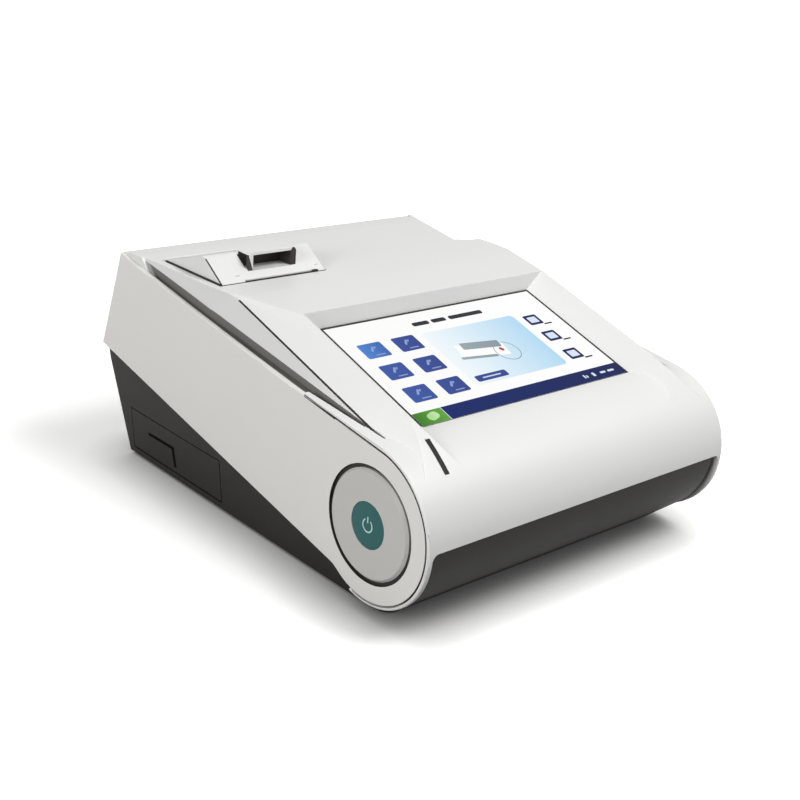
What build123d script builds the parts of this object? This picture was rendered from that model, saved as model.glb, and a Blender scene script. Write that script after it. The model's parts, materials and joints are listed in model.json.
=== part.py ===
from build123d import *
import os
from math import cos, radians, sin, sqrt

os.makedirs("parts", exist_ok=True)

# A bench-top electrolyte analyzer: a round-nosed casing with a sloping screen, a receipt
# printer under a door on the roof and a port for test cartridges at the right rear.
# Millimetres. X runs to the right, Y to the back, Z up. The origin is on the table,
# under the middle of the casing.

# Overall
DISC_X = 119.0            # outer face of the round side discs, half the width
PLATE_OUT = 118.2         # outer face of the side plates
PLATE_IN = 115.8          # face that the side plates lie against
FOOT_H = 2.0
ROOF_Z = 136.2
WALL = 2.5
INSIDE_X = 107.5          # half the width inside the cover
TRAY_INSIDE_X = 105.0     # half the width inside the base

# The nose is a roll whose axis runs across the casing
NOSE_Y = -109.5
NOSE_Z = 53.0
NOSE = (NOSE_Y, NOSE_Z)
NOSE_R = 44.5
BAND_R = 43.7             # the dark band under the cover's lip sits a little inside
LIP_ANGLE = 1.8           # where cover and base meet, just above the roll's middle
CHIN_ANGLE = -50.0        # where the roll runs out into a straight chin
CHIN_BOTTOM_Y = -117.5
CHIN_CORNER_R = 8.0
NOSE_REAR_Y = NOSE_Y + 8.5
ROLL_EDGE_R = 1.2         # rounding of the roll's two ends
BAND_HALF = 115.2         # half the band's width; the cover's end rims run on beside it
BAND_CORNER_R = 4.0
RIM_IN_R = 41.5
RIM_START_ANGLE = 6.0     # where they leave the cover, above the lip
RIM_END_ANGLE = -106.0    # where the end rims stop, under the roll

# Side outline of the rear
ROOF_REAR = (133.5, 134.9)
ROOF_FALL_Y = 118.0       # from here the roof falls a little to its rear edge
BEAK = (156.0, 70.2)      # lowest rear corner of the cover
BASE_REAR_TOP_Y = 152.5
BASE_REAR_BOTTOM = (135.3, FOOT_H)
PART_GAP = 0.3            # between cover and base

# Side plates: a teardrop round the nose with a long tail
PLATE_R = 42.4
PLATE_CREST = ((-115.1, 95.0), (8.6, 113.2), (133.5, 134.6))
PLATE_LOW_REAR = (156.0, 70.5)
PLATE_LOW_FRONT = (-95.0, 16.8)
PLATE_NECK_R = 14.0
PLATE_FIT = 0.6
DISC_R = 29.8
DISC_HOLE_R = 32.0

# Screen: the glass lies in a pocket between two rails
GLASS_LOW = (-105.5, 96.2)
GLASS_TILT = 17.6
GLASS_LEN = 91.9
GLASS_HALF = 82.2
GLASS_T = 2.0
GASKET_W = 1.0
RAIL_HALF = 95.0          # half the distance over the two rail crests
RAIL_RISE = 10.7          # crest above the glass, square to it

# Roof edge, brow and rails seen from the side
BROW_REAR_Y = 21.0        # crease where the roof starts to fall to the brow
BROW_Y = -17.9
BROW_Z = 134.6
RAIL_LOW = (-91.5, 113.4)
RAIL_END_ANGLE = 44.3     # where the rail runs out on the roll, from straight ahead
SEAM_X = 110.0            # crease between hood and skirt
SEAM_FRONT = (-103.5, 97.2)
SEAM_REAR = (21.0, 134.6)
SEAM_W = 0.5              # the fine groove along that crease
SEAM_DEPTH = 0.6
SKIRT_FLARE = 2.0         # the skirt leans out by this much in its height
SKIRT_H = 14.0
ROOF_EDGE_X = 113.0       # edge of the roof beside the groove
ROOF_EDGE_Y = 43.5
GROOVE_DEPTH = 7.0
GROOVE_REAR_Y = 97.0
SKIRT_FOOT = ((-107.9, 97.4), (111.0, 134.2))   # lower edge of the skirt
STRIP_IN_X = 109.0        # the dark strip in the groove reaches in this far
STRIP_SINK = 1.5          # its floor lies this far below the plate's crest
STRIP_WALL = ((-107.9, 109.8), (0, 110.9), (21, 111.1), (43.5, 112.2), (113, 112.2))
STRIP_FLOOR = ((-107.9, 110.9), (-52.0, 114.5), (-52.0, 115.7), (113, 115.7))
RIM_REAR = (-52.0, 105.0) # where the rim beside the groove ends
RIM_FRONT = (-115.5, 97.05)
RIM_IN_X = 110.4          # the rim's inner face at its front

# Status light, a slim window on the left rail's front end
LIGHT_X = (-96.5, -93.5)
LIGHT_Y = (-138.5, -122.0)
LENS_T = 4.5

# Power button in the left disc
BUTTON_R = 12.6
BUTTON_FLANGE_R = 14.0
RUN_GAP = 0.05

# Printer door
DOOR_X = (-106.5, -32.5)
DOOR_FRONT_Y = 42.0
DOOR_LIP_Z = (134.0, 136.4)
DOOR_RIDGE = (61.0, 149.0)
HINGE = (100.0, 133.0)
BARREL_R = 3.2
PIN_R = 1.25
HINGE_PIN_X = (-108.9, -27.5)
DOOR_GAP = 0.6
DOOR_SIDE_GAP = 1.1
DOOR_REAR_GAP = 1.6       # room for the door's heel when it stands open
DOOR_WALL = 2.2
PULL_X = (-84.0, -51.0)
PULL_TOP = 151.3

# Printer works
PLATEN = (48.0, 130.5)
PLATEN_R = 4.0
SHAFT_R = 1.5
CHEEK_X = ((-94.5, -92.0), (-38.0, -35.5))
GEAR_X = (-98.9, -95.4)
GEAR_MODULE = 0.6
GEAR_ROOM_R = 6.3
PLATEN_TEETH = 16
IDLER_TEETH = 24
PINION_TEETH = 12
IDLER = (48.0, 118.5)
PINION = (42.6, 109.15)
ROLL = (80.0, 106.0)
ROLL_R = 19.0
CORE_R = 6.0
ROLL_X = (-98.0, -41.0)
TUB_X = (-104.0, -35.0)
TUB_Y = (56.2, 103.5)
TUB_Z = (84.0, 133.7)
TUB_WALL = 1.8
FRAME_X = (-95.0, -36.0)

# Cartridge port, cut into the right rear corner of the roof
SCOOP_A = (115.5, 129.0)
SCOOP_B = (95.0, 63.5)
SCOOP_C = (105.6, 57.7)
SCOOP_OUT_X = 125.0
SCOOP_FLOOR = 114.0
SLOT_W = 46.0
SLOT_H = 8.0
SLOT_Z = 122.0
SLOT_SHIFT = 6.0          # the slot sits this far forward of its wall's middle
TUNNEL_W = 44.0
TUNNEL_H = 6.4
TUNNEL_WALL = 2.8
TUNNEL_DEPTH = (3.0, 60.0)

# Left side hatch, on the base's sloping side
SIDE_BOTTOM_X = 110.0
SIDE_TOP_Z = 62.0
HATCH_Y = (30.5, 129.5)
HATCH_Z = (5.9, 34.0)
HATCH_PIVOT = (-108.9, 8.0)
HATCH_BARREL_R = 1.7
HATCH_PIN_R = 1.2
HATCH_T = 2.0
HATCH_DEPTH = 2.3
HATCH_GAP = 0.4
POCKET = ((110.2, 23.4), (81.0, 23.8), (79.2, 10.4))   # finger pocket, as (Y, Z)
POCKET_DEPTH = 1.4
BAY_Y = (50.0, 106.0)
BAY_Z = (11.0, 32.0)

# Posts that the casing's screws run through
POST_R = 4.0
POSTS = ((-101, 129), (101, 129), (-100, -86), (100, -86))
SCREW_R = 1.5
SCREW_HEAD_R = 3.0
SCREW_SEAT_Z = 38.0

FEET = ((-88, -98), (88, -98), (-88, 118), (88, 118))


def roll_point(radius, angle):
    """Point on the nose roll, as (Y, Z); the angle is from straight ahead, upwards."""
    return (NOSE_Y - radius * cos(radians(angle)), NOSE_Z + radius * sin(radians(angle)))


lip = roll_point(NOSE_R, LIP_ANGLE)


def parting_z(y):
    """Height of the joint between cover and base."""
    return lip[1] + (y - lip[0]) * (BEAK[1] - lip[1]) / (BEAK[0] - lip[0])


def under_crest(y, depth):
    """Point below the side plate's crest, as (Y, Z)."""
    first, last = (0, 1) if y < PLATE_CREST[1][0] else (1, 2)
    (y0, z0), (y1, z1) = PLATE_CREST[first], PLATE_CREST[last]
    return (y, z0 + (y - y0) * (z1 - z0) / (y1 - y0) - depth)


side_slope = (PLATE_IN - SIDE_BOTTOM_X) / (SIDE_TOP_Z - FOOT_H)


def side_x(z):
    """Distance of the base's sloping side from the middle."""
    return SIDE_BOTTOM_X + (z - FOOT_H) * side_slope


def mirror_x(plane):
    """The same plane on the other side of the casing."""
    origin = plane.origin
    normal = plane.z_dir
    return Plane(origin=(-origin.X, origin.Y, origin.Z), z_dir=(-normal.X, normal.Y, normal.Z))


def plane_through(a, b, c):
    """Plane through three points, its normal turned upwards."""
    normal = (Vector(*b) - Vector(*a)).cross(Vector(*c) - Vector(*a)).normalized()
    if normal.Z < 0:
        normal = normal * -1
    return Plane(origin=a, z_dir=(normal.X, normal.Y, normal.Z))


def block(x, y, z, mode=Mode.ADD):
    """Box between two values on each axis, in the part that is open."""
    with Locations((sum(x) / 2, sum(y) / 2, sum(z) / 2)):
        Box(x[1] - x[0], y[1] - y[0], z[1] - z[0], mode=mode)


def rod_x(x, radius, at, mode=Mode.ADD):
    """Cylinder along X between two values, centred on (Y, Z)."""
    with Locations(Location((sum(x) / 2, at[0], at[1]), (0, 90, 0))):
        Cylinder(radius, x[1] - x[0], mode=mode)


def rod_y(y, radius, at, mode=Mode.ADD):
    """Cylinder along Y between two values, centred on (X, Z)."""
    with Locations(Location((at[0], sum(y) / 2, at[1]), (90, 0, 0))):
        Cylinder(radius, y[1] - y[0], mode=mode)


def rod_z(z, radius, at, mode=Mode.ADD):
    """Cylinder along Z between two values, centred on (X, Y)."""
    with Locations((at[0], at[1], sum(z) / 2)):
        Cylinder(radius, z[1] - z[0], mode=mode)


def gear_outline(teeth, phase):
    """Corner points of a gear's teeth; the phase turns the first tooth, in degrees."""
    pitch = 360 / teeth
    middle = GEAR_MODULE * teeth / 2
    root = middle - 1.2 * GEAR_MODULE
    tip = middle + 0.9 * GEAR_MODULE
    flank = ((root, 0.30), (middle, 0.225), (tip, 0.13))
    points = []
    for tooth in range(teeth):
        centre = phase + tooth * pitch
        for radius, half in flank:
            points.append((radius, centre - half * pitch))
        for radius, half in reversed(flank):
            points.append((radius, centre + half * pitch))
    return [(r * cos(radians(a)), r * sin(radians(a))) for r, a in points]


# Screen plane: origin at the middle of the glass's lower edge, local y up the slope
tilt = radians(GLASS_TILT)
glass_top = (GLASS_LOW[0] + GLASS_LEN * cos(tilt), GLASS_LOW[1] + GLASS_LEN * sin(tilt))
glass_plane = Plane(
    origin=(0, GLASS_LOW[0], GLASS_LOW[1]), x_dir=(1, 0, 0), z_dir=(0, -sin(tilt), cos(tilt))
)

# The rail's front end is an arc that leaves the crest line and dies out on the roll
rail_end = roll_point(NOSE_R, RAIL_END_ANGLE)
crest_slope = Vector(BROW_Y - RAIL_LOW[0], BROW_Z - RAIL_LOW[1]).normalized()
crest_down = Vector(crest_slope.Y, -crest_slope.X)
rail_chord = Vector(rail_end[0] - RAIL_LOW[0], rail_end[1] - RAIL_LOW[1])
rail_arc_r = rail_chord.length ** 2 / (2 * rail_chord.dot(crest_down))
rail_centre = Vector(*RAIL_LOW) + crest_down * rail_arc_r


def rail_point(y, depth=0.0):
    """Point on the rail's front arc, as (Y, Z), depth below its surface."""
    radius = rail_arc_r - depth
    return (y, rail_centre.Y + sqrt(radius ** 2 - (y - rail_centre.X) ** 2))


# Side plate outlines: the plate itself, then its seat with room all round
plate_outlines = []
for fit in (0, PLATE_FIT):
    with BuildSketch() as outline:
        with BuildLine():
            crest = [(y, z + fit) for y, z in PLATE_CREST]
            low_rear = (PLATE_LOW_REAR[0] + fit, PLATE_LOW_REAR[1] - fit)
            low_front = (PLATE_LOW_FRONT[0], PLATE_LOW_FRONT[1] - fit)
            ThreePointArc(*crest)
            Polyline(crest[2], low_rear, low_front, NOSE, crest[0])
        make_face()
        with Locations(NOSE):
            Circle(PLATE_R + fit)
        neck = outline.vertices().filter_by_position(Axis.Y, 10, 30).sort_by(Axis.X)[-1]
        fillet(neck, PLATE_NECK_R)
    plate_outlines.append(outline.sketch)
plate_face, plate_seat = plate_outlines

# Scoop of the cartridge port, in plan
with BuildSketch() as scoop_face:
    Polygon(
        SCOOP_A, SCOOP_B, SCOOP_C, (SCOOP_OUT_X, SCOOP_C[1]), (SCOOP_OUT_X, SCOOP_A[1]),
        align=None,
    )

port_along = (Vector(*SCOOP_A) - Vector(*SCOOP_B)).normalized()
port_middle = (Vector(*SCOOP_A) + Vector(*SCOOP_B)) * 0.5 - port_along * SLOT_SHIFT
port_plane = Plane(
    origin=(port_middle.X, port_middle.Y, SLOT_Z),
    x_dir=(port_along.X, port_along.Y, 0),
    z_dir=(port_along.Y, -port_along.X, 0),
)

# Trough for the screen, with sloping sides; it runs down and out at the front
TROUGH_H = 30.0
TROUGH_START = 20.0
flare = (RAIL_HALF - GLASS_HALF) / RAIL_RISE
trough_plane = Plane(
    origin=glass_plane.origin + glass_plane.y_dir * (GLASS_LEN + TROUGH_START),
    x_dir=(1, 0, 0),
    z_dir=-glass_plane.y_dir,
)
with BuildPart() as screen_trough:
    with BuildSketch(trough_plane):
        Polygon(
            (-GLASS_HALF, 0),
            (GLASS_HALF, 0),
            (GLASS_HALF + TROUGH_H * flare, TROUGH_H),
            (-GLASS_HALF - TROUGH_H * flare, TROUGH_H),
            align=None,
        )
    extrude(amount=2 * GLASS_LEN)
    split(bisect_by=Plane.XZ.offset(-BROW_Y), keep=Keep.TOP)

# Body between the two skirts
seam_a = (SEAM_X, *SEAM_FRONT)
seam_b = (SEAM_X, *SEAM_REAR)
hood = plane_through(seam_a, seam_b, (RAIL_HALF, BROW_Y, BROW_Z + 0.6))
skirt = plane_through(seam_a, seam_b, (SEAM_X + SKIRT_FLARE, SEAM_FRONT[0], SEAM_FRONT[1] - SKIRT_H))

core_foot = (NOSE_Y, parting_z(NOSE_Y))
with BuildPart() as cover_core:
    with BuildSketch(Plane.YZ):
        with BuildLine():
            Line(core_foot, rail_end)
            TangentArc(RAIL_LOW, rail_end, tangent=(-crest_slope.X, -crest_slope.Y))
            Polyline(
                RAIL_LOW,
                (BROW_Y, BROW_Z),
                (BROW_REAR_Y, ROOF_Z),
                (ROOF_FALL_Y, ROOF_Z),
                ROOF_REAR,
                BEAK,
                core_foot,
            )
        make_face()
    extrude(amount=PLATE_IN, both=True)
    for cut in (hood, skirt, mirror_x(hood), mirror_x(skirt)):
        split(bisect_by=cut, keep=Keep.BOTTOM)
    add(screen_trough.part, mode=Mode.SUBTRACT)

# The roof widens behind the brow, until it meets the side plates
with BuildPart() as roof_edge:
    with BuildSketch(Plane.XY.offset(ROOF_Z)):
        Polygon(
            (-SEAM_X, BROW_REAR_Y),
            (SEAM_X, BROW_REAR_Y),
            (ROOF_EDGE_X, ROOF_EDGE_Y),
            (ROOF_EDGE_X, GROOVE_REAR_Y + 1),
            (-ROOF_EDGE_X, GROOVE_REAR_Y + 1),
            (-ROOF_EDGE_X, ROOF_EDGE_Y),
            align=None,
        )
    extrude(amount=-2.5 * SKIRT_H)
    for cut in (hood, mirror_x(hood)):
        split(bisect_by=cut, keep=Keep.BOTTOM)

# The nose roll with its rounded ends
with BuildPart() as nose_roll:
    rod_x((-PLATE_OUT, PLATE_OUT), NOSE_R, NOSE)
    fillet(nose_roll.edges().filter_by(GeomType.CIRCLE), ROLL_EDGE_R)

# Rims at the roll's ends below the cover's lip. The dark band fills the window between
# them, and the base leaves a little more room for both.
rim_parts = []
for gap in (0, PART_GAP):
    radii = (RIM_IN_R - gap, NOSE_R + 1)
    starts, middles, ends = [
        [roll_point(r, angle) for r in radii]
        for angle in (
            RIM_START_ANGLE, (RIM_START_ANGLE + RIM_END_ANGLE) / 2, RIM_END_ANGLE - 2 * gap
        )
    ]
    with BuildPart() as end_rims:
        with BuildSketch(Plane.YZ):
            with BuildLine():
                ThreePointArc(starts[0], middles[0], ends[0])
                ThreePointArc(starts[1], middles[1], ends[1])
                Line(starts[0], starts[1])
                Line(ends[0], ends[1])
            make_face()
        extrude(amount=PLATE_OUT, both=True)
        with BuildSketch(Plane.XZ.offset(-NOSE_Y - NOSE_R - 2)):
            with Locations((0, lip[1] - gap - NOSE_R)):
                RectangleRounded(2 * (BAND_HALF - gap), 2 * NOSE_R, BAND_CORNER_R)
        extrude(amount=2 * NOSE_R + 4, mode=Mode.SUBTRACT)
    rim_parts.append(end_rims.part)

with BuildPart() as cover_roll:
    with BuildSketch(Plane.YZ):
        front_y = NOSE_Y - NOSE_R - 1
        Polygon(
            (front_y, parting_z(front_y)),
            (front_y, NOSE_Z + NOSE_R + 1),
            (NOSE_REAR_Y, NOSE_Z + NOSE_R + 1),
            (NOSE_REAR_Y, parting_z(NOSE_REAR_Y)),
            align=None,
        )
    extrude(amount=PLATE_OUT, both=True)
    add(rim_parts[0])
    add(nose_roll.part, mode=Mode.INTERSECT)

# The right rim's taper along the side plate's crest
with BuildPart() as rim_taper:
    with BuildSketch():
        Polygon(
            (RIM_IN_X, RIM_FRONT[0]),
            (PLATE_OUT, RIM_FRONT[0]),
            (PLATE_OUT, RIM_REAR[0]),
            (STRIP_FLOOR[1][1], RIM_REAR[0]),
            align=None,
        )
    extrude(amount=ROOF_Z)
    with BuildSketch(Plane.YZ):
        Polygon(
            RIM_FRONT,
            RIM_REAR,
            under_crest(RIM_REAR[0], GROOVE_DEPTH + 1),
            under_crest(RIM_FRONT[0], GROOVE_DEPTH + 1),
            align=None,
        )
    extrude(amount=PLATE_OUT + 1, mode=Mode.INTERSECT)
    rim_top = rim_taper.faces().sort_by(Axis.Z)[-1]
    fillet(rim_top.edges().sort_by(Axis.X)[-1], ROLL_EDGE_R)

# The groove beside the right side plate: its side outline, and the room in the cover
with BuildSketch() as groove_side:
    Polygon(
        under_crest(SKIRT_FOOT[0][0], GROOVE_DEPTH),
        under_crest(PLATE_CREST[1][0], GROOVE_DEPTH),
        under_crest(GROOVE_REAR_Y, GROOVE_DEPTH),
        SKIRT_FOOT[1],
        SKIRT_FOOT[0],
        align=None,
    )

with BuildPart() as groove_room:
    with BuildSketch():
        Polygon(
            (STRIP_IN_X, STRIP_FLOOR[0][0]),
            (STRIP_FLOOR[0][1], STRIP_FLOOR[0][0]),
            (STRIP_FLOOR[1][1], STRIP_FLOOR[1][0]),
            (PLATE_IN + 1, STRIP_FLOOR[2][0]),
            (PLATE_IN + 1, STRIP_FLOOR[3][0]),
            (STRIP_IN_X, STRIP_FLOOR[3][0]),
            align=None,
        )
    extrude(amount=ROOF_Z)
    with BuildSketch(Plane.YZ.offset(STRIP_IN_X)):
        add(groove_side.sketch)
    extrude(amount=10, mode=Mode.INTERSECT)

# On the right the groove stops at the cartridge port's front wall
port_front_y = SCOOP_C[1] - WALL
with BuildPart() as right_room:
    add(groove_room.part)
    block(
        (STRIP_IN_X - 1, DISC_X), (port_front_y, ROOF_REAR[0]), (0, ROOF_Z + 1),
        mode=Mode.SUBTRACT,
    )

# Top cover
with BuildPart() as top_cover:
    add(cover_core.part)
    add(roof_edge.part)
    # Shoulder that closes the groove and carries the side plates
    with BuildSketch(Plane.YZ):
        Polygon(
            under_crest(NOSE_Y, GROOVE_DEPTH),
            under_crest(PLATE_CREST[1][0], GROOVE_DEPTH),
            under_crest(GROOVE_REAR_Y, GROOVE_DEPTH),
            SKIRT_FOOT[1],
            (SKIRT_FOOT[1][0] + 2.0, ROOF_Z),
            (ROOF_FALL_Y, ROOF_Z),
            ROOF_REAR,
            BEAK,
            core_foot,
            align=None,
        )
    extrude(amount=PLATE_IN, both=True)
    # The nose roll and its rims, the grooves and the fine line along each crease
    add(cover_roll.part)
    for taper, room in (
        (rim_taper.part, right_room.part),
        (mirror(rim_taper.part, Plane.YZ), mirror(groove_room.part, Plane.YZ)),
    ):
        add(taper)
        add(room, mode=Mode.SUBTRACT)
    for x in (-SEAM_X, SEAM_X):
        with BuildSketch(Plane.YZ.offset(x - SEAM_W / 2)):
            Polygon(
                (SEAM_FRONT[0], SEAM_FRONT[1] - SEAM_DEPTH),
                (SEAM_REAR[0], SEAM_REAR[1] - SEAM_DEPTH),
                (SEAM_REAR[0], SEAM_REAR[1] + 2),
                (SEAM_FRONT[0], SEAM_FRONT[1] + 2),
                align=None,
            )
        extrude(amount=SEAM_W, mode=Mode.SUBTRACT)
    # Seats of the side plates
    with BuildSketch(Plane.YZ.offset(PLATE_IN), Plane.YZ.offset(-PLATE_IN - 10)):
        add(plate_seat)
    extrude(amount=10.0, mode=Mode.SUBTRACT)
    # Inside
    cavity_r = NOSE_R - WALL
    with BuildSketch(Plane.YZ):
        with BuildLine():
            ThreePointArc(
                roll_point(cavity_r, -14), roll_point(cavity_r, 38), (NOSE_Y, NOSE_Z + cavity_r)
            )
            Polyline(
                (NOSE_Y, NOSE_Z + cavity_r),
                (GLASS_LOW[0] + 0.8, GLASS_LOW[1] - WALL),
                (BROW_REAR_Y, ROOF_Z - WALL),
                (ROOF_FALL_Y - 1, ROOF_Z - WALL),
                (ROOF_REAR[0] - 1.8, ROOF_REAR[1] - WALL),
                (BASE_REAR_TOP_Y - 3.0, 81.0),
                (BASE_REAR_TOP_Y - 3.0, 58.0),
                roll_point(cavity_r, -14),
            )
        make_face()
    extrude(amount=INSIDE_X, both=True, mode=Mode.SUBTRACT)
    with BuildSketch(Plane.YZ):
        Polygon(
            (BROW_Y + WALL, glass_top[1] - WALL),
            (BROW_Y + WALL, BROW_Z - WALL),
            (BROW_REAR_Y, ROOF_Z - WALL),
            align=None,
        )
    extrude(amount=RAIL_HALF - WALL, both=True, mode=Mode.SUBTRACT)
    # Display window
    with BuildSketch(glass_plane.offset(3)):
        with Locations((0, GLASS_LEN / 2)):
            Rectangle(2 * GLASS_HALF, GLASS_LEN)
    extrude(amount=-12.0, mode=Mode.SUBTRACT)
    # Status light window
    with BuildSketch(Plane.YZ.offset(LIGHT_X[0])):
        Polygon(
            rail_point(LIGHT_Y[0], -2),
            rail_point(LIGHT_Y[1], -2),
            rail_point(LIGHT_Y[1], 9),
            rail_point(LIGHT_Y[0], 9),
            align=None,
        )
    extrude(amount=LIGHT_X[1] - LIGHT_X[0], mode=Mode.SUBTRACT)
    # Printer bay, with lugs for the door's hinge pin
    block(
        (DOOR_X[0] - DOOR_SIDE_GAP, DOOR_X[1] + DOOR_SIDE_GAP),
        (DOOR_FRONT_Y - DOOR_GAP, HINGE[0] + BARREL_R + DOOR_REAR_GAP),
        (ROOF_Z - WALL - 2, ROOF_Z + 2),
        mode=Mode.SUBTRACT,
    )
    block((DOOR_X[1] + DOOR_SIDE_GAP, DOOR_X[1] + 5.5), (95, 105), (128, 135))
    block((-STRIP_IN_X, DOOR_X[0] - DOOR_SIDE_GAP), (95, 105), (129, 135))
    rod_x(HINGE_PIN_X, PIN_R, HINGE, mode=Mode.SUBTRACT)
    # Posts for the casing's screws
    for x, y in POSTS:
        ceiling = ROOF_REAR[1] - 1 if y > 0 else GLASS_LOW[1] + (y - GLASS_LOW[0]) * sin(tilt)
        rod_z((parting_z(y), ceiling), POST_R, (x, y))
        rod_z((parting_z(y) - 1, parting_z(y) + 14), SCREW_R, (x, y), mode=Mode.SUBTRACT)
    # Cartridge port: a scoop with its own walls and a slot in the inner one
    with BuildSketch(Plane.XY.offset(SCOOP_FLOOR - WALL)):
        add(scoop_face.sketch)
        offset(amount=WALL, kind=Kind.INTERSECTION)
        with Locations((PLATE_IN / 2, SCOOP_A[1] / 2)):
            Rectangle(PLATE_IN, 2 * SCOOP_A[1], mode=Mode.INTERSECT)
    extrude(amount=ROOF_Z - SCOOP_FLOOR + WALL)
    with BuildSketch(Plane.XY.offset(SCOOP_FLOOR)):
        add(scoop_face.sketch)
    extrude(amount=40.0, mode=Mode.SUBTRACT)
    block(
        (ROOF_EDGE_X, DISC_X), (port_front_y - 1, SCOOP_C[1] + 1),
        (under_crest(SCOOP_C[1], 0)[1], ROOF_Z + 1), mode=Mode.SUBTRACT,
    )
    with BuildSketch(port_plane):
        Rectangle(SLOT_W, SLOT_H)
    extrude(amount=6.0, both=True, mode=Mode.SUBTRACT)
    # Hole in the nose's left end for the button housing
    rod_x((-PLATE_IN - 1, -INSIDE_X + 1), 20.0, NOSE, mode=Mode.SUBTRACT)

top_cover.part.label = "top_cover"
export_step(top_cover.part, "parts/top_cover.step")

# Base tray
tray_lip = roll_point(BAND_R, LIP_ANGLE - 0.4)
tray_rear = (BASE_REAR_TOP_Y, parting_z(BASE_REAR_TOP_Y) - PART_GAP)
chin = roll_point(BAND_R, CHIN_ANGLE)
side_rise = Vector(-side_slope, 0, 1).normalized()
side_plane = Plane(
    origin=(-SIDE_BOTTOM_X, 0, FOOT_H),
    x_dir=(0, -1, 0),
    z_dir=(-side_rise.Z, 0, side_rise.X),
)
rear_rise = Vector(0, tray_rear[0] - BASE_REAR_BOTTOM[0], tray_rear[1] - FOOT_H).normalized()
rear_plane = Plane(
    origin=(0, *BASE_REAR_BOTTOM), x_dir=(-1, 0, 0), z_dir=(0, rear_rise.Z, -rear_rise.Y)
)
INLET = (-60.0, 24.0)     # on the rear wall: to the left seen from behind, and up
NETWORK = (-30.0, 24.0)
PORT_PANEL = ((-45.0, 24.0), (62.0, 24.0), 1.2)

with BuildPart() as base_tray:
    with BuildSketch(Plane.YZ):
        with BuildLine():
            ThreePointArc(tray_lip, roll_point(BAND_R, -28), chin)
            Polyline(chin, (CHIN_BOTTOM_Y, FOOT_H), BASE_REAR_BOTTOM, tray_rear, tray_lip)
        make_face()
    extrude(amount=PLATE_IN, both=True)
    for cut in (side_plane, mirror_x(side_plane)):
        split(bisect_by=cut, keep=Keep.BOTTOM)
    chin_middle = ((chin[0] + CHIN_BOTTOM_Y) / 2, (chin[1] + FOOT_H) / 2)
    for x in (-side_x(chin_middle[1]), side_x(chin_middle[1])):
        corner = base_tray.edges().sort_by_distance((x, *chin_middle))[0]
        fillet(corner, CHIN_CORNER_R)
    # The roll's lower part, with room for the cover's rims
    with BuildSketch(Plane.YZ):
        with BuildLine():
            roll_rear = (NOSE_Y + BAND_R, NOSE_Z)
            ThreePointArc(tray_lip, roll_point(BAND_R, -90), roll_rear)
            Line(roll_rear, tray_lip)
        make_face()
    extrude(amount=PLATE_IN, both=True)
    add(rim_parts[1], mode=Mode.SUBTRACT)
    # Inside
    tray_cavity_r = BAND_R - WALL
    with BuildSketch(Plane.YZ):
        with BuildLine():
            ThreePointArc(
                roll_point(tray_cavity_r, 5),
                roll_point(tray_cavity_r, -28),
                roll_point(tray_cavity_r, CHIN_ANGLE),
            )
            Polyline(
                roll_point(tray_cavity_r, CHIN_ANGLE),
                (CHIN_BOTTOM_Y + WALL, FOOT_H + WALL),
                (BASE_REAR_BOTTOM[0] - WALL + 0.4, FOOT_H + WALL),
                (BASE_REAR_TOP_Y - WALL, tray_rear[1] + 3),
                roll_point(tray_cavity_r, 5),
            )
        make_face()
    extrude(amount=TRAY_INSIDE_X, both=True, mode=Mode.SUBTRACT)
    rod_x((-PLATE_IN - 1, -TRAY_INSIDE_X + 1), 20.0, NOSE, mode=Mode.SUBTRACT)
    # Seat, pivot holes and bay opening of the side hatch
    with BuildSketch(Plane.XZ.offset(-HATCH_Y[1])):
        Polygon(
            (-side_x(HATCH_Z[0]) - 4, HATCH_Z[0]),
            (-side_x(HATCH_Z[0]) + HATCH_DEPTH, HATCH_Z[0]),
            (-side_x(HATCH_Z[1]) + HATCH_DEPTH, HATCH_Z[1]),
            (-side_x(HATCH_Z[1]) - 4, HATCH_Z[1]),
            align=None,
        )
    extrude(amount=HATCH_Y[1] - HATCH_Y[0], mode=Mode.SUBTRACT)
    rod_y(HATCH_Y, HATCH_BARREL_R + HATCH_GAP, HATCH_PIVOT, mode=Mode.SUBTRACT)
    rod_y(
        (HATCH_Y[0] - 3, HATCH_Y[1] + 3), HATCH_PIN_R + RUN_GAP, HATCH_PIVOT, mode=Mode.SUBTRACT
    )
    block((-SIDE_BOTTOM_X - 3, -TRAY_INSIDE_X + 1), BAY_Y, BAY_Z, mode=Mode.SUBTRACT)
    # Posts and screw holes
    for x, y in POSTS:
        rod_z((FOOT_H + 1, parting_z(y)), POST_R + 0.5, (x, y))
        rod_z((FOOT_H - 1, SCREW_SEAT_Z), SCREW_HEAD_R + 0.2, (x, y), mode=Mode.SUBTRACT)
        rod_z((FOOT_H, parting_z(y) + 1), SCREW_R, (x, y), mode=Mode.SUBTRACT)
    # Stand-offs of the boards
    for x in (-26, 86):
        for y in (-52, 52):
            rod_z((FOOT_H + 1, 14), 3.0, (x, y))
    for x in (24, 90):
        for y in (74, 116):
            rod_z((FOOT_H + 1, 14), 3.0, (x, y))
    # Rear openings and vents
    with BuildSketch(rear_plane):
        with Locations(PORT_PANEL[0]):
            Rectangle(*PORT_PANEL[1])
    extrude(amount=-8, mode=Mode.SUBTRACT)
    with BuildSketch(rear_plane):
        with Locations((55, 36)):
            with GridLocations(5.0, 1.0, 14, 1):
                SlotOverall(34, 2.2, rotation=90)
    extrude(amount=-8, mode=Mode.SUBTRACT)
    with Locations((45, 95, FOOT_H)):
        with GridLocations(6.0, 1.0, 9, 1):
            Box(2.4, 30, 8, mode=Mode.SUBTRACT)
    # Speaker holes in the floor
    with Locations((-20, -84, FOOT_H)):
        with PolarLocations(7.0, 8):
            Cylinder(1.3, 8, mode=Mode.SUBTRACT)

base_tray.part.label = "base_tray"
export_step(base_tray.part, "parts/base_tray.step")

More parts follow.
